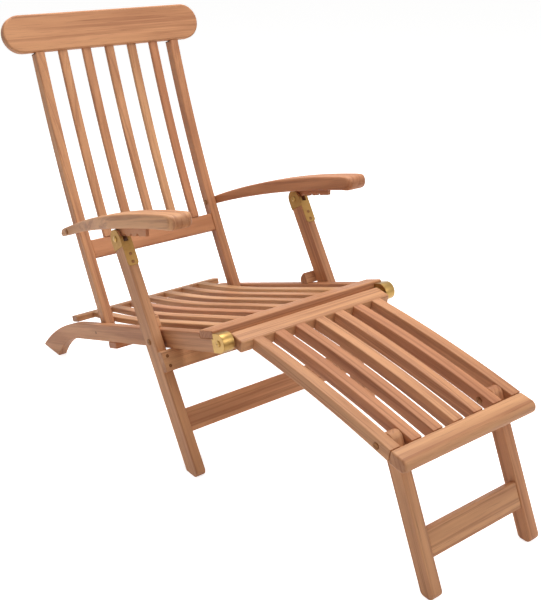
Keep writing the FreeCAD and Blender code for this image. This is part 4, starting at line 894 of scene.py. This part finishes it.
def stop_board_top(u):
    """Height up the legs, at an offset u, of the board that stops them just under the seat rails."""
    seat = chosen("seat")
    lean = chosen("legs").lean - seat.slope
    return -(seat.deep / 2.0 + seat.gap) / math.cos(lean) + u * math.tan(lean)


class DECKCHAIR_OT_front_legs(bpy.types.Operator):
    """Front legs with forked round tops, their stretcher and their stop board"""
    bl_idname = "deckchair.front_legs"
    bl_label = "Front legs"

    def execute(self, context):
        legs, wood, way = chosen("legs"), chosen("teak"), leg_way()
        half, pin = legs.deep / 2.0, legs.reach
        fork = pin - legs.slot_deep + wood.edge
        shank = eased(outline([
            (half, fork), (-half, fork), (-half, way.floor(-half)), (half, way.floor(half)),
        ]), legs.foot, LEG_CORNER)
        tine = outline(round_top(half, pin) + [(-half, fork), (half, fork)])
        thin = (legs.thick - legs.slot_wide) / 2.0
        for side, sign in SIDES:
            middle = leg_middle() * sign
            form = Form().board(way, shank, middle, legs.thick, wood.edge)
            for face in FACES:
                form.board(way, tine, middle + face * (legs.slot_wide + thin) / 2.0, thin, wood.edge)
            board("front_leg_" + side, form, "front_legs", (0.0, *way.up))
        between = leg_middle() * 2.0 - legs.thick
        leg_stretcher("front_leg_stretcher", "front_legs", way, legs, legs.deep, between)
        rear, front = -half, -half - legs.stop_thick
        low = stop_board_top(front) - legs.stop_wide
        section = [
            (front, low), (rear, low), (rear, stop_board_top(rear)), (front, stop_board_top(front)),
        ]
        wide = leg_middle() * 2.0 + legs.thick
        cross_board("front_leg_stop_board", "front_legs", way, section, wide, wood.stop_edge)
        return {"FINISHED"}


class DECKCHAIR_OT_leg_saddles(bpy.types.Operator):
    """Brass saddles on the front legs: two round cheeks and a slotted strap down the front"""
    bl_idname = "deckchair.leg_saddles"
    bl_label = "Leg saddles"

    def execute(self, context):
        legs, metal, way = chosen("legs"), chosen("brass"), leg_way()
        half, pin, sheet = legs.deep / 2.0, legs.reach, metal.sheet
        wide, slot, fork = legs.thick / 2.0 + sheet, legs.slot_wide / 2.0, pin - legs.slot_deep
        low, turn = pin - metal.strap, metal.strap_end
        cheek = outline(round_top(half, pin) + [(-half, pin - metal.cheek), (half, pin - metal.cheek)])
        strap = outline([
            (-wide, low + turn, turn, 1), (turn - wide, low), (wide - turn, low, turn, 1),
            (wide, low + turn), (wide, pin), (slot, pin), (slot, fork), (-slot, fork), (-slot, pin),
            (-wide, pin),
        ])
        form = Form()
        for side, sign in SIDES:
            middle = leg_middle() * sign
            form.cheeks(way, cheek, middle, legs.thick, metal)
            form.sheet(way, strap, -half - sheet, -half, middle, metal.edge)
        # The saddles take the darker brass: painted shade that dims the straps' reflection.
        fitting("leg_saddles", form, "front_legs", "shaded")
        return {"FINISHED"}


def back_way():
    """The direction of the back: v runs up the stiles' straight feet from their bolt."""
    return Direction(pivot("back_fold"), -chosen("back").lean)


def on_back(along, behind):
    """A point at a length along the back's curve and behind its centre line: the curve is an arc about
    (-bend, shank), so u = (bend + behind) cos t - bend and v = shank + (bend + behind) sin t."""
    rear = chosen("back")
    t = along / rear.bend
    reach = rear.bend + behind
    return reach * math.cos(t) - rear.bend, rear.shank + reach * math.sin(t)


class DECKCHAIR_OT_back_frame(bpy.types.Operator):
    """Curved stiles of the back and the rail across their feet"""
    bl_idname = "deckchair.back_frame"
    bl_label = "Back frame"

    def execute(self, context):
        rear, wood, way = chosen("back"), chosen("teak"), back_way()
        half, last, bend = rear.stile_deep / 2.0, rear.long, rear.bend
        points = eased(outline([
            (-half, 0.0, half, 1), (0.0, -half, half, 1), (half, 0.0), (half, rear.shank, bend + half, 1),
            on_back(last, half), on_back(last, -half) + (bend - half, -1), (-half, rear.shank),
        ]), wood.stile_top)
        side_boards("back_stile", "back", way, points, (rear.outside - rear.stile_wide) / 2.0,
                    rear.stile_wide, wood.stile_edge, (0.0, *way.up))
        half, first = rear.low_thick / 2.0, rear.low_start
        last = first + rear.low_wide
        section = [on_back(first, half), on_back(last, half), on_back(last, -half), on_back(first, -half)]
        wide = rear.outside - rear.stile_wide * 2.0
        cross_board("back_lower_rail", "back", way, section, wide, wood.edge)
        return {"FINISHED"}


class DECKCHAIR_OT_back_slats(bpy.types.Operator):
    """Five slim curved slats of the back"""
    bl_idname = "deckchair.back_slats"
    bl_label = "Back slats"

    def execute(self, context):
        rear, wood, way = chosen("back"), chosen("teak"), back_way()
        front = rear.slat_inset - rear.stile_deep / 2.0
        behind, first, last = front + rear.slat_thick, rear.low_start + rear.low_wide, rear.long
        points = outline([
            on_back(first, behind) + (rear.bend + behind, 1), on_back(last, behind),
            on_back(last, front) + (rear.bend + front, -1), on_back(first, front),
        ])
        row_of_boards(numbered("back_slat", BACK_SLATS), "back", way, points, rear.slat_step,
                      rear.slat_wide, wood.slat_edge, (0.0, *way.up))
        return {"FINISHED"}


class DECKCHAIR_OT_head_rail(bpy.types.Operator):
    """Head rail: a broad board with fully round ends on top of the back"""
    bl_idname = "deckchair.head_rail"
    bl_label = "Head rail"

    def execute(self, context):
        rear = chosen("back")
        wide, thick, half = rear.head_wide, rear.head_thick, rear.head_long / 2.0
        end = wide / 2.0
        face = outline([
            (end - half, 0.0), (half - end, 0.0, end, 1), (half, end, end, 1), (half - end, wide),
            (end - half, wide, end, 1), (-half, end, end, 1),
        ])
        spot = on_back(rear.long, thick / 2.0 - rear.stile_deep / 2.0 - rear.head_proud)
        way = Direction(back_way().point(*spot), rear.long / rear.bend - rear.lean)
        form = Form().sheet(way, face, -thick / 2.0, thick / 2.0, 0.0, chosen("teak").soft_edge)
        board("head_rail", form, "back", ACROSS)
        return {"FINISHED"}


def arm_arches():
    """Centres of the arcs of an arm's underside and of its top, from its bolt."""
    arms = chosen("arms")
    under = arc_centre((arms.stub, -arms.low), (-arms.reach, arms.rise), arms.under_bend)
    front = (arms.nose_long - arms.reach, arms.rise + arms.nose)
    return under, arc_centre((arms.stub, arms.thin - arms.low), front, arms.top_bend)


def on_arch(y, centre, bend):
    """Height of an arch at a length y behind the bolt: centre z + sqrt(bend^2 - (y - centre y)^2)."""
    return centre[1] + np.sqrt(bend * bend - (y - centre[0]) ** 2)


# The arm's surface: sections between its rounded ends, points round a section, and where the sections
# of a rounded end lie as shares of its length. A section is a superellipse with these powers.
ARM_SECTIONS, ARM_POINTS = 46, 56
END_SECTIONS = np.array([0.02, 0.08, 0.18, 0.32, 0.5, 0.72, 1.0])
SIDE_POWER, TOP_POWER = 14.0, 4.0
AFTER_END = 4.0 * MM


def rounded_off(way_in, long):
    """Share of the full thickness at a way in from a rounded end: sqrt(1 - (1 - way_in / long)^2)."""
    return np.sqrt(np.clip(1.0 - (1.0 - np.minimum(way_in / long, 1.0)) ** 2, 0.0, 1.0))


def blunted(wave, power):
    """A superellipse's wave from a circle's: sgn(wave) |wave|^(2 / power)."""
    return np.sign(wave) * np.abs(wave) ** (2.0 / power)


def arm_surface(sign):
    """An arm. Its section at a length y is |x / w|^14 + |z / h|^4 = 1, written as x = w sgn(cos t)
    |cos t|^(2/14) and z = h sgn(sin t) |sin t|^(2/4). w follows the taper of the outer face by
    3 q^2 - 2 q^3, h is half of the arm's thickness and closes over each rounded end, and near the front
    a corner is drawn back by radius - sqrt(radius^2 - (radius - d)^2), where d is the way in from a
    side face."""
    arms, rear = chosen("arms"), chosen("back")
    whole = arms.reach + arms.stub
    s = np.concatenate([
        arms.front_round * END_SECTIONS,
        np.linspace(arms.front_round + AFTER_END, whole - arms.rear_round - AFTER_END, ARM_SECTIONS),
        (whole - arms.rear_round * END_SECTIONS)[::-1],
    ])
    y = s - arms.reach
    under, over = arm_arches()
    low, high = on_arch(y, under, arms.under_bend) - arms.below, on_arch(y, over, arms.top_bend) + arms.over
    droop = arms.droop * (1.0 - np.minimum(s / arms.droop_long, 1.0)) ** 2
    h = (high - low) / 2.0 * rounded_off(s, arms.front_round) * rounded_off(whole - s, arms.rear_round)
    middle = (high + low) / 2.0 - droop
    q = np.clip((-y - arms.straight) / (arms.full - arms.straight), 0.0, 1.0)
    w = (arms.narrow + (arms.wide - arms.narrow) * q * q * (3.0 - 2.0 * q)) / 2.0
    t = (np.arange(ARM_POINTS) + 0.5) * 2.0 * math.pi / ARM_POINTS
    x = np.outer(w, blunted(np.cos(t), SIDE_POWER))
    z = np.outer(h, blunted(np.sin(t), TOP_POWER)) + middle[:, None]
    inward = np.clip(1.0 - (w[:, None] - np.abs(x)) / arms.corner, 0.0, 1.0)
    back = arms.corner * (1.0 - np.sqrt(1.0 - inward ** 2))
    fade = np.clip(1.0 - s / arms.corner_long, 0.0, 1.0) ** 2
    across = (rear.outside / 2.0 + arms.gap + w[:, None] + x) * sign
    points = np.column_stack([across.ravel(), (y[:, None] + back * fade[:, None]).ravel(), z.ravel()])
    quads, ends = ring_faces(len(s), ARM_POINTS)
    row = np.arange(ARM_POINTS // 2 - 1)
    end = np.column_stack([row, row + 1, ARM_POINTS - 2 - row, ARM_POINTS - 1 - row])
    return points, np.concatenate([quads, end, end + (len(s) - 1) * ARM_POINTS])


class DECKCHAIR_OT_arms(bpy.types.Operator):
    """Arched arms that swell towards their blunt round fronts"""
    bl_idname = "deckchair.arms"
    bl_label = "Arms"

    def execute(self, context):
        arms = chosen("arms")
        for side, sign in SIDES:
            points, quads = arm_surface(sign)
            points[:, 1:] += pivot("arm_tilt_" + side)
            board("arm_" + side, Form().add(points, quads), "arm_" + side, (0.0, -arms.reach, arms.rise))
        return {"FINISHED"}


class DECKCHAIR_OT_arm_racks(bpy.types.Operator):
    """Notched racks under the arms"""
    bl_idname = "deckchair.arm_racks"
    bl_label = "Arm racks"

    def execute(self, context):
        arms, wood = chosen("arms"), chosen("teak")
        centre = arm_arches()[0]
        pin = leg_way().point(0.0, chosen("legs").reach) - pivot("arm_tilt_left")
        bend = np.linalg.norm(pin - centre) + chosen("brass").pin / 2.0 + arms.rack_gap
        rear, front, notch = pin[0] + arms.rack_behind, pin[0] - arms.rack_ahead, arms.notch

        def at(y, radius):
            """A point of an arc about the arch's centre."""
            return y, on_arch(y, centre, radius)
        corners = [at(front, bend)]
        for row in reversed(range(NOTCHES)):
            spot = pin[0] - arms.notch_step * row
            corners += [at(spot - notch, bend) + (notch, -1), at(spot, bend + notch) + (notch, -1),
                        at(spot + notch, bend)]
        corners += [at(rear, bend), at(rear, arms.under_bend) + (arms.under_bend, 1),
                    at(front, arms.under_bend)]
        points = outline(corners)
        for side, sign in SIDES:
            way = Direction(pivot("arm_tilt_" + side), 0.0)
            form = Form().board(way, points, leg_middle() * sign, arms.rack_thick, wood.rack_edge)
            board("arm_rack_" + side, form, "arm_" + side, (0.0, -arms.reach, arms.rise))
        return {"FINISHED"}


class DECKCHAIR_OT_leg_rest(bpy.types.Operator):
    """Leg rest: a rear rail round its hinge, seven arched members and a round-nosed front rail"""
    bl_idname = "deckchair.leg_rest"
    bl_label = "Leg rest"

    def execute(self, context):
        rest, wood, seat = chosen("rest"), chosen("teak"), chosen("seat")
        way = Direction(pivot("leg_rest_tilt"), rest.slope)
        hub, rear = rest.hub, -rest.rail_reach
        section = [(rear, hub), (rear, -hub), (0.0, -hub, hub, 1), (hub, 0.0, hub, 1), (0.0, hub)]
        wide = seat.inside - rest.gap * 2.0
        cross_board("rest_rear_rail", "leg_rest", way, section, wide, wood.hinge_edge)
        front, half, low = rear - rest.long, rest.long / 2.0, hub - rest.slat_thick
        bend = (half * half + rest.arch * rest.arch) / (rest.arch * 2.0)
        points = outline([(rear, hub, bend, 1), (front, hub), (front, low, bend, -1), (rear, low)])
        nodes = ["rest_rail_right"] + numbered("rest_slat", REST_SLATS) + ["rest_rail_left"]
        row_of_boards(nodes, "leg_rest", way, points, rest.step, rest.slat_wide, wood.slat_edge,
                      (0.0, *way.along))
        nose, end, low = rest.front_thick / 2.0, front - rest.front_wide, hub - rest.front_thick
        section = [
            (front, hub), (end + nose, hub, nose, 1), (end, hub - nose, nose, 1), (end + nose, low),
            (front, low),
        ]
        wide = rest.step * (REST_SLATS + 1) + rest.slat_wide
        cross_board("rest_front_rail", "leg_rest", way, section, wide, wood.soft_edge)
        return {"FINISHED"}


class DECKCHAIR_OT_rest_legs(bpy.types.Operator):
    """Round-topped legs of the leg rest and their stretcher"""
    bl_idname = "deckchair.rest_legs"
    bl_label = "Rest legs"

    def execute(self, context):
        rest, wood = chosen("rest"), chosen("teak")
        way = Direction(pivot("rest_legs_fold"), -rest.lean)
        half = rest.leg_deep / 2.0
        points = eased(outline(
            round_top(half, 0.0) + [(-half, way.floor(-half)), (half, way.floor(half))],
        ), rest.foot, LEG_CORNER)
        wide = rest.step * REST_SLATS
        side_boards("rest_leg", "rest_legs", way, points, wide / 2.0, rest.leg_thick, wood.edge,
                    (0.0, *way.up))
        leg_stretcher("rest_leg_stretcher", "rest_legs", way, rest, rest.leg_deep, wide - rest.leg_thick)
        return {"FINISHED"}


# A head's rim lies DOME of its height lower than its middle. GRID holds the places of the grid's rows
# beside the slot, whose walls take SLOT_WALL of the radius on either side of their line.
DOME, SLOT_WALL = 0.5, 0.03
GRID, COLUMNS = (0.38, 0.6, 0.82, 1.0), 9


def slotted_head(radius, tall, slot, depth):
    """A domed head with a driver's slot. A square grid (a, b) becomes a disc by x = r a sqrt(1 - b^2/2)
    and y = r b sqrt(1 - a^2/2); its height is tall (1 - DOME (x^2 + y^2) / r^2), less depth in the
    slot. The rim runs down to the face and closes there. Returns points (x, y, height), the faces and
    the cap."""
    edge = slot / radius / 2.0
    half = np.array([edge - SLOT_WALL, edge + SLOT_WALL, *GRID])
    a, b = np.meshgrid(np.concatenate([-half[::-1], half]), np.linspace(-1.0, 1.0, COLUMNS), indexing="ij")
    x = radius * a * np.sqrt(1.0 - b * b / 2.0)
    y = radius * b * np.sqrt(1.0 - a * a / 2.0)
    height = tall * (1.0 - DOME * (x * x + y * y) / radius ** 2) - depth * (np.abs(a) < edge)
    top = np.column_stack([x.ravel(), y.ravel(), height.ravel()])
    place = np.arange(a.size).reshape(a.shape)
    corners = (place[:-1, :-1], place[1:, :-1], place[1:, 1:], place[:-1, 1:])
    quads = np.column_stack([corner.ravel() for corner in corners])
    rim = np.concatenate([place[:-1, 0], place[-1, :-1], place[:0:-1, -1], place[0, :0:-1]])
    under = np.arange(len(rim)) + len(top)
    walls = np.column_stack([rim, np.roll(rim, -1), np.roll(under, -1), under])
    return np.concatenate([top, top[rim] * (1.0, 1.0, 0.0)]), np.concatenate([quads, walls]), [under[::-1]]


# A bolt's shank narrows to END_WIDE of its radius over END_LONG of its length at each end. The others
# are how many points a ring of a shank or washer has, and the rounding of a washer's rim.
END_WIDE, END_LONG = 0.96, 0.02
SHANK_POINTS, WASHER_POINTS, RIM_POINTS = 32, 40, 4


class DECKCHAIR_OT_bolts(bpy.types.Operator):
    """Bolts and pins of all the pivots, with domed and slotted heads"""
    bl_idname = "deckchair.bolts"
    bl_label = "Bolts and pins"

    def execute(self, context):
        seat, legs, rear = chosen("seat"), chosen("legs"), chosen("back")
        arms, rest, metal = chosen("arms"), chosen("rest"), chosen("brass")
        inside, outside = seat.inside / 2.0, rail_outside() / 2.0
        leg, stile = leg_middle() + legs.thick / 2.0, rear.outside / 2.0
        rest_rail = rest.step * (REST_SLATS + 1) / 2.0 + rest.slat_wide / 2.0
        # Bolts in the brown brass are partly painted shade, darker for the recesses round their heads.
        for node, finish, body, place, start, end, inner, outer in (
            ("hinge_bolts", "brass", "seat_frame", pivot("leg_rest_tilt"),
             inside - rest.gap - rest.rail_reach, outside + metal.sheet, False, True),
            ("front_leg_bolts", "aged_shaded", "seat_frame", pivot("frame_fold"), inside, leg, False, True),
            ("back_bolts", "aged_shaded", "back_hinge", pivot("back_fold"),
             stile - rear.stile_wide - metal.slack, outside, True, False),
            ("saddle_pins", "brass", "front_legs", leg_way().point(0.0, legs.reach),
             leg - legs.thick - metal.sheet, leg + metal.sheet, True, True),
            ("rest_leg_bolts", "aged_shaded", "leg_rest", pivot("rest_legs_fold"),
             rest_rail - rest.step - rest.slat_wide, rest_rail, True, True),
        ):
            form = Form()
            for side, sign in SIDES:
                self.bolt(form, place, start, end, inner, outer, sign)
            fitting(node, form, body, finish)
        for side, sign in SIDES:
            form = Form()
            self.bolt(form, pivot("arm_tilt_" + side), stile - rear.stile_wide - metal.slack,
                      stile + arms.gap + arms.narrow + metal.slack, True, True, sign)
            # The arm bolts' brown brass is partly painted shade, darker for the recesses round their heads.
            fitting("arm_bolt_" + side, form, "arm_hinge_" + side, "aged_shaded")
        return {"FINISHED"}

    def bolt(self, form, place, start, end, inner, outer, sign):
        """One bolt across the chair, from start to end on one side, with an inner or an outer head."""
        metal = chosen("brass")
        head = slotted_head(metal.head / 2.0, metal.tall, metal.slot, metal.slot_deep)
        lead, radius = END_LONG * (end - start), metal.pin / 2.0
        shank = np.array([[start, radius * END_WIDE], [start + lead, radius], [end - lead, radius],
                          [end, radius * END_WIDE]])
        form.turned(shank, (0.0, *place), (sign, 0.0, 0.0), SHANK_POINTS)
        for wanted, reach, out in ((inner, start, -sign), (outer, end, sign)):
            if wanted:
                form.head(head, (reach * sign, *place), (out, 0.0, 0.0))


class DECKCHAIR_OT_screws(bpy.types.Operator):
    """Slotted screws in the leg saddles and in the board across the front legs"""
    bl_idname = "deckchair.screws"
    bl_label = "Screws"

    def execute(self, context):
        legs, metal, way = chosen("legs"), chosen("brass"), leg_way()
        head = slotted_head(metal.screw / 2.0, metal.screw_tall, metal.screw_slot, metal.screw_slot_deep)
        front = -legs.deep / 2.0
        stop = front - legs.stop_thick
        for node, face, top, long, shares in (
            ("stop_board_screws", stop, stop_board_top(stop), legs.stop_wide, metal.stop_screws),
            ("saddle_screws", front - metal.sheet, legs.reach, metal.strap, metal.strap_screws),
        ):
            form = Form()
            for side, sign in SIDES:
                for share in shares:
                    spot = (leg_middle() * sign, *way.point(face, top - long * share))
                    form.head(head, spot, (0.0, *-way.along))
            # The screws' brown brass is partly painted shade, darker for the recesses round their heads.
            fitting(node, form, "front_legs", "aged_shaded")
        return {"FINISHED"}


class DECKCHAIR_OT_washers(bpy.types.Operator):
    """Washers between the pieces that turn on each other"""
    bl_idname = "deckchair.washers"
    bl_label = "Washers"

    def execute(self, context):
        seat, legs, rest, metal = chosen("seat"), chosen("legs"), chosen("rest"), chosen("brass")
        rail, inside = rail_outside() / 2.0, seat.inside / 2.0
        self.washers("front_leg_washers", "front_legs", pivot("frame_fold"), rail, rail + legs.off_rail,
                     metal.leg_washer, metal)
        self.washers("hinge_washers", "seat_frame", pivot("leg_rest_tilt"), inside - rest.gap,
                     inside - metal.sheet, metal.hinge_washer, metal)
        return {"FINISHED"}

    def washers(self, node, body, place, low, high, wide, metal):
        """A washer on each side, with a rounded rim: r runs out from the bore and back to it."""
        low, high, edge = low + metal.washer_gap, high - metal.washer_gap, metal.washer_edge
        bore, rim = metal.pin / 2.0 + metal.bore_gap, wide / 2.0
        t = np.linspace(0.0, math.pi / 2.0, RIM_POINTS)
        inset, radii = edge * (1.0 - np.sin(t)), rim - edge * (1.0 - np.cos(t))
        profile = np.concatenate([
            [[low, bore]], np.column_stack([low + inset, radii])[::-1],
            np.column_stack([high - inset, radii]), [[high, bore]],
        ])
        form = Form()
        for side, sign in SIDES:
            form.turned(profile, (0.0, *place), (sign, 0.0, 0.0), WASHER_POINTS)
        fitting(node, form, body)


# The photograph's size in pixels, and the height of the camera's sensor in millimetres.
PHOTO_WIDE, PHOTO_HIGH = 541.0, 600.0
SENSOR = 24.0
# The floor's reach and the point that the lamps face, in metres, and square soft lamps: name, place
# and width in metres, power in watts.
FLOOR_REACH = 30.0
AIM = (0.0, 0.0, 0.45)
LAMPS = (
    ("key", (1.3, -3.2, 2.6), 2.0, 39.0),
    ("fill", (-3.0, -1.2, 1.9), 2.6, 13.0),
    ("top", (0.3, 0.6, 3.4), 2.0, 100.0),
)
WHITE = (1.0, 1.0, 1.0, 1.0)


def turned_to(ahead, up):
    """Turn of a lamp or camera that looks ahead with a given way up."""
    ahead = np.array(ahead, float) / np.linalg.norm(ahead)
    right = np.cross(ahead, up)
    right /= np.linalg.norm(right)
    upright = np.cross(right, ahead)
    return Matrix(np.column_stack([right, upright, -ahead]).tolist()).to_euler()


class DECKCHAIR_OT_stage(bpy.types.Operator):
    """Plain pale floor, soft light and the camera of the photograph"""
    bl_idname = "deckchair.stage"
    bl_label = "Stage"

    def execute(self, context):
        self.floor(chosen("stage"))
        self.world(context.scene)
        self.lamps()
        self.camera(context.scene)
        context.scene.view_settings.view_transform = "Standard"
        return {"FINISHED"}

    def stand(self, name, data):
        """A new object of the scene."""
        thing = bpy.data.objects.new(name, data)
        bpy.context.scene.collection.objects.link(thing)
        return thing

    def white(self, tree):
        """1 on camera, glossy and transmitted rays, else 0."""
        path = node_of(tree, "ShaderNodeLightPath", (-900, 300))
        both = node_of(tree, "ShaderNodeMath", (-700, 300), {"operation": "MAXIMUM"},
                       {0: path.outputs["Is Camera Ray"], 1: path.outputs["Is Glossy Ray"]})
        return node_of(tree, "ShaderNodeMath", (-500, 300), {"operation": "MAXIMUM"},
                       {0: both, 1: path.outputs["Is Transmission Ray"]})

    def floor(self, settings):
        """A wide floor that shows white, with a faint shadow."""
        mesh = bpy.data.meshes.new("floor")
        corners = box_corners(-FLOOR_REACH, -FLOOR_REACH, FLOOR_REACH * 2.0, FLOOR_REACH * 2.0)
        mesh.from_pydata([corner + (0.0,) for corner in corners], [], [(0, 1, 2, 3)])
        material, tree = new_material("floor_matt_paint")
        paint = node_of(tree, "ShaderNodeBsdfDiffuse", (-300, 100), {"Color": solid_colour(settings.floor)})
        glow = node_of(tree, "ShaderNodeEmission", (-300, -100), {"Strength": settings.glow})
        dark = node_of(tree, "ShaderNodeEmission", (-300, -250), {"Strength": 0.0})
        seen = node_of(tree, "ShaderNodeMixShader", (-100, -100), None,
                       {"Fac": self.white(tree), 1: dark, 2: glow})
        both = node_of(tree, "ShaderNodeAddShader", (100, 0), None, {0: paint, 1: seen})
        node_of(tree, "ShaderNodeOutputMaterial", (300, 0), None, {"Surface": both})
        mesh.materials.append(material)
        self.stand("floor", mesh)

    def world(self, scene):
        """Soft even light from all round, which the camera sees as white."""
        scene.world = bpy.data.worlds.new("studio")
        scene.world.use_nodes = True
        tree = scene.world.node_tree
        tree.nodes.clear()
        soft = node_of(tree, "ShaderNodeBackground", (-300, 100),
                       {"Color": WHITE, "Strength": chosen("stage").sky})
        plain = node_of(tree, "ShaderNodeBackground", (-300, -100), {"Color": WHITE, "Strength": 1.0})
        mixed = node_of(tree, "ShaderNodeMixShader", (-100, 0), None,
                        {"Fac": self.white(tree), 1: soft, 2: plain})
        node_of(tree, "ShaderNodeOutputWorld", (100, 0), None, {"Surface": mixed})

    def lamps(self):
        """Three soft lamps: a key at the front, a weak fill at the left and one from above."""
        for name, place, size, power in LAMPS:
            lamp = bpy.data.lights.new(name, "AREA")
            lamp.shape, lamp.size, lamp.energy = "SQUARE", size, power
            stand = self.stand(name, lamp)
            stand.location = place
            stand.rotation_euler = turned_to(np.array(AIM) - np.array(place), (0.0, 0.0, 1.0))

    def camera(self, scene):
        """The photograph's camera."""
        view = chosen("stage")
        ahead = np.array([math.sin(view.yaw) * math.cos(view.pitch),
                          math.cos(view.yaw) * math.cos(view.pitch), -math.sin(view.pitch)])
        level = np.array([math.cos(view.yaw), -math.sin(view.yaw), 0.0])
        up = np.cross(level, ahead) * math.cos(view.roll) + level * math.sin(view.roll)
        camera = bpy.data.cameras.new("camera")
        camera.sensor_fit, camera.sensor_height = "VERTICAL", SENSOR
        camera.lens = view.focal * SENSOR / PHOTO_HIGH
        camera.shift_x = (PHOTO_WIDE / 2.0 - view.middle_x) / PHOTO_HIGH
        camera.shift_y = (view.middle_y - PHOTO_HIGH / 2.0) / PHOTO_HIGH
        scene.camera = self.stand("camera", camera)
        scene.camera.location = (view.far_x, view.far_y, view.far_z)
        scene.camera.rotation_euler = turned_to(ahead, up)


class DECKCHAIR_PT_panel(bpy.types.Panel):
    """The chair's pieces, in the order in which they are made"""
    bl_label = "Deck chair"
    bl_idname = "DECKCHAIR_PT_panel"
    bl_space_type = "VIEW_3D"
    bl_region_type = "UI"
    bl_category = "Deck chair"

    def draw(self, context):
        for maker in MAKERS:
            self.layout.operator(maker.bl_idname)


GROUPS = {
    "seat": DeckSeat, "legs": DeckLegs, "back": DeckBack, "arms": DeckArms, "rest": DeckRest,
    "brass": DeckBrass, "teak": DeckTeak, "stage": DeckStage,
}
MAKERS = (
    DECKCHAIR_OT_seat_rails, DECKCHAIR_OT_seat_boards, DECKCHAIR_OT_seat_slats, DECKCHAIR_OT_rail_caps,
    DECKCHAIR_OT_front_legs, DECKCHAIR_OT_leg_saddles, DECKCHAIR_OT_back_frame, DECKCHAIR_OT_back_slats,
    DECKCHAIR_OT_head_rail, DECKCHAIR_OT_arms, DECKCHAIR_OT_arm_racks, DECKCHAIR_OT_leg_rest,
    DECKCHAIR_OT_rest_legs, DECKCHAIR_OT_bolts, DECKCHAIR_OT_screws, DECKCHAIR_OT_washers,
    DECKCHAIR_OT_stage,
)
CLASSES = tuple(GROUPS.values()) + MAKERS + (DECKCHAIR_PT_panel,)


def register():
    for entry in CLASSES:
        bpy.utils.register_class(entry)
    for name, entry in GROUPS.items():
        setattr(bpy.types.Scene, "deck_" + name, bpy.props.PointerProperty(type=entry))


def unregister():
    for name in GROUPS:
        delattr(bpy.types.Scene, "deck_" + name)
    for entry in reversed(CLASSES):
        bpy.utils.unregister_class(entry)


def main():
    register()
    for maker in MAKERS:
        group, name = maker.bl_idname.split(".")
        if getattr(getattr(bpy.ops, group), name)() != {"FINISHED"}:
            raise RuntimeError(maker.bl_label + " was not made")


if __name__ == "__main__":
    main()
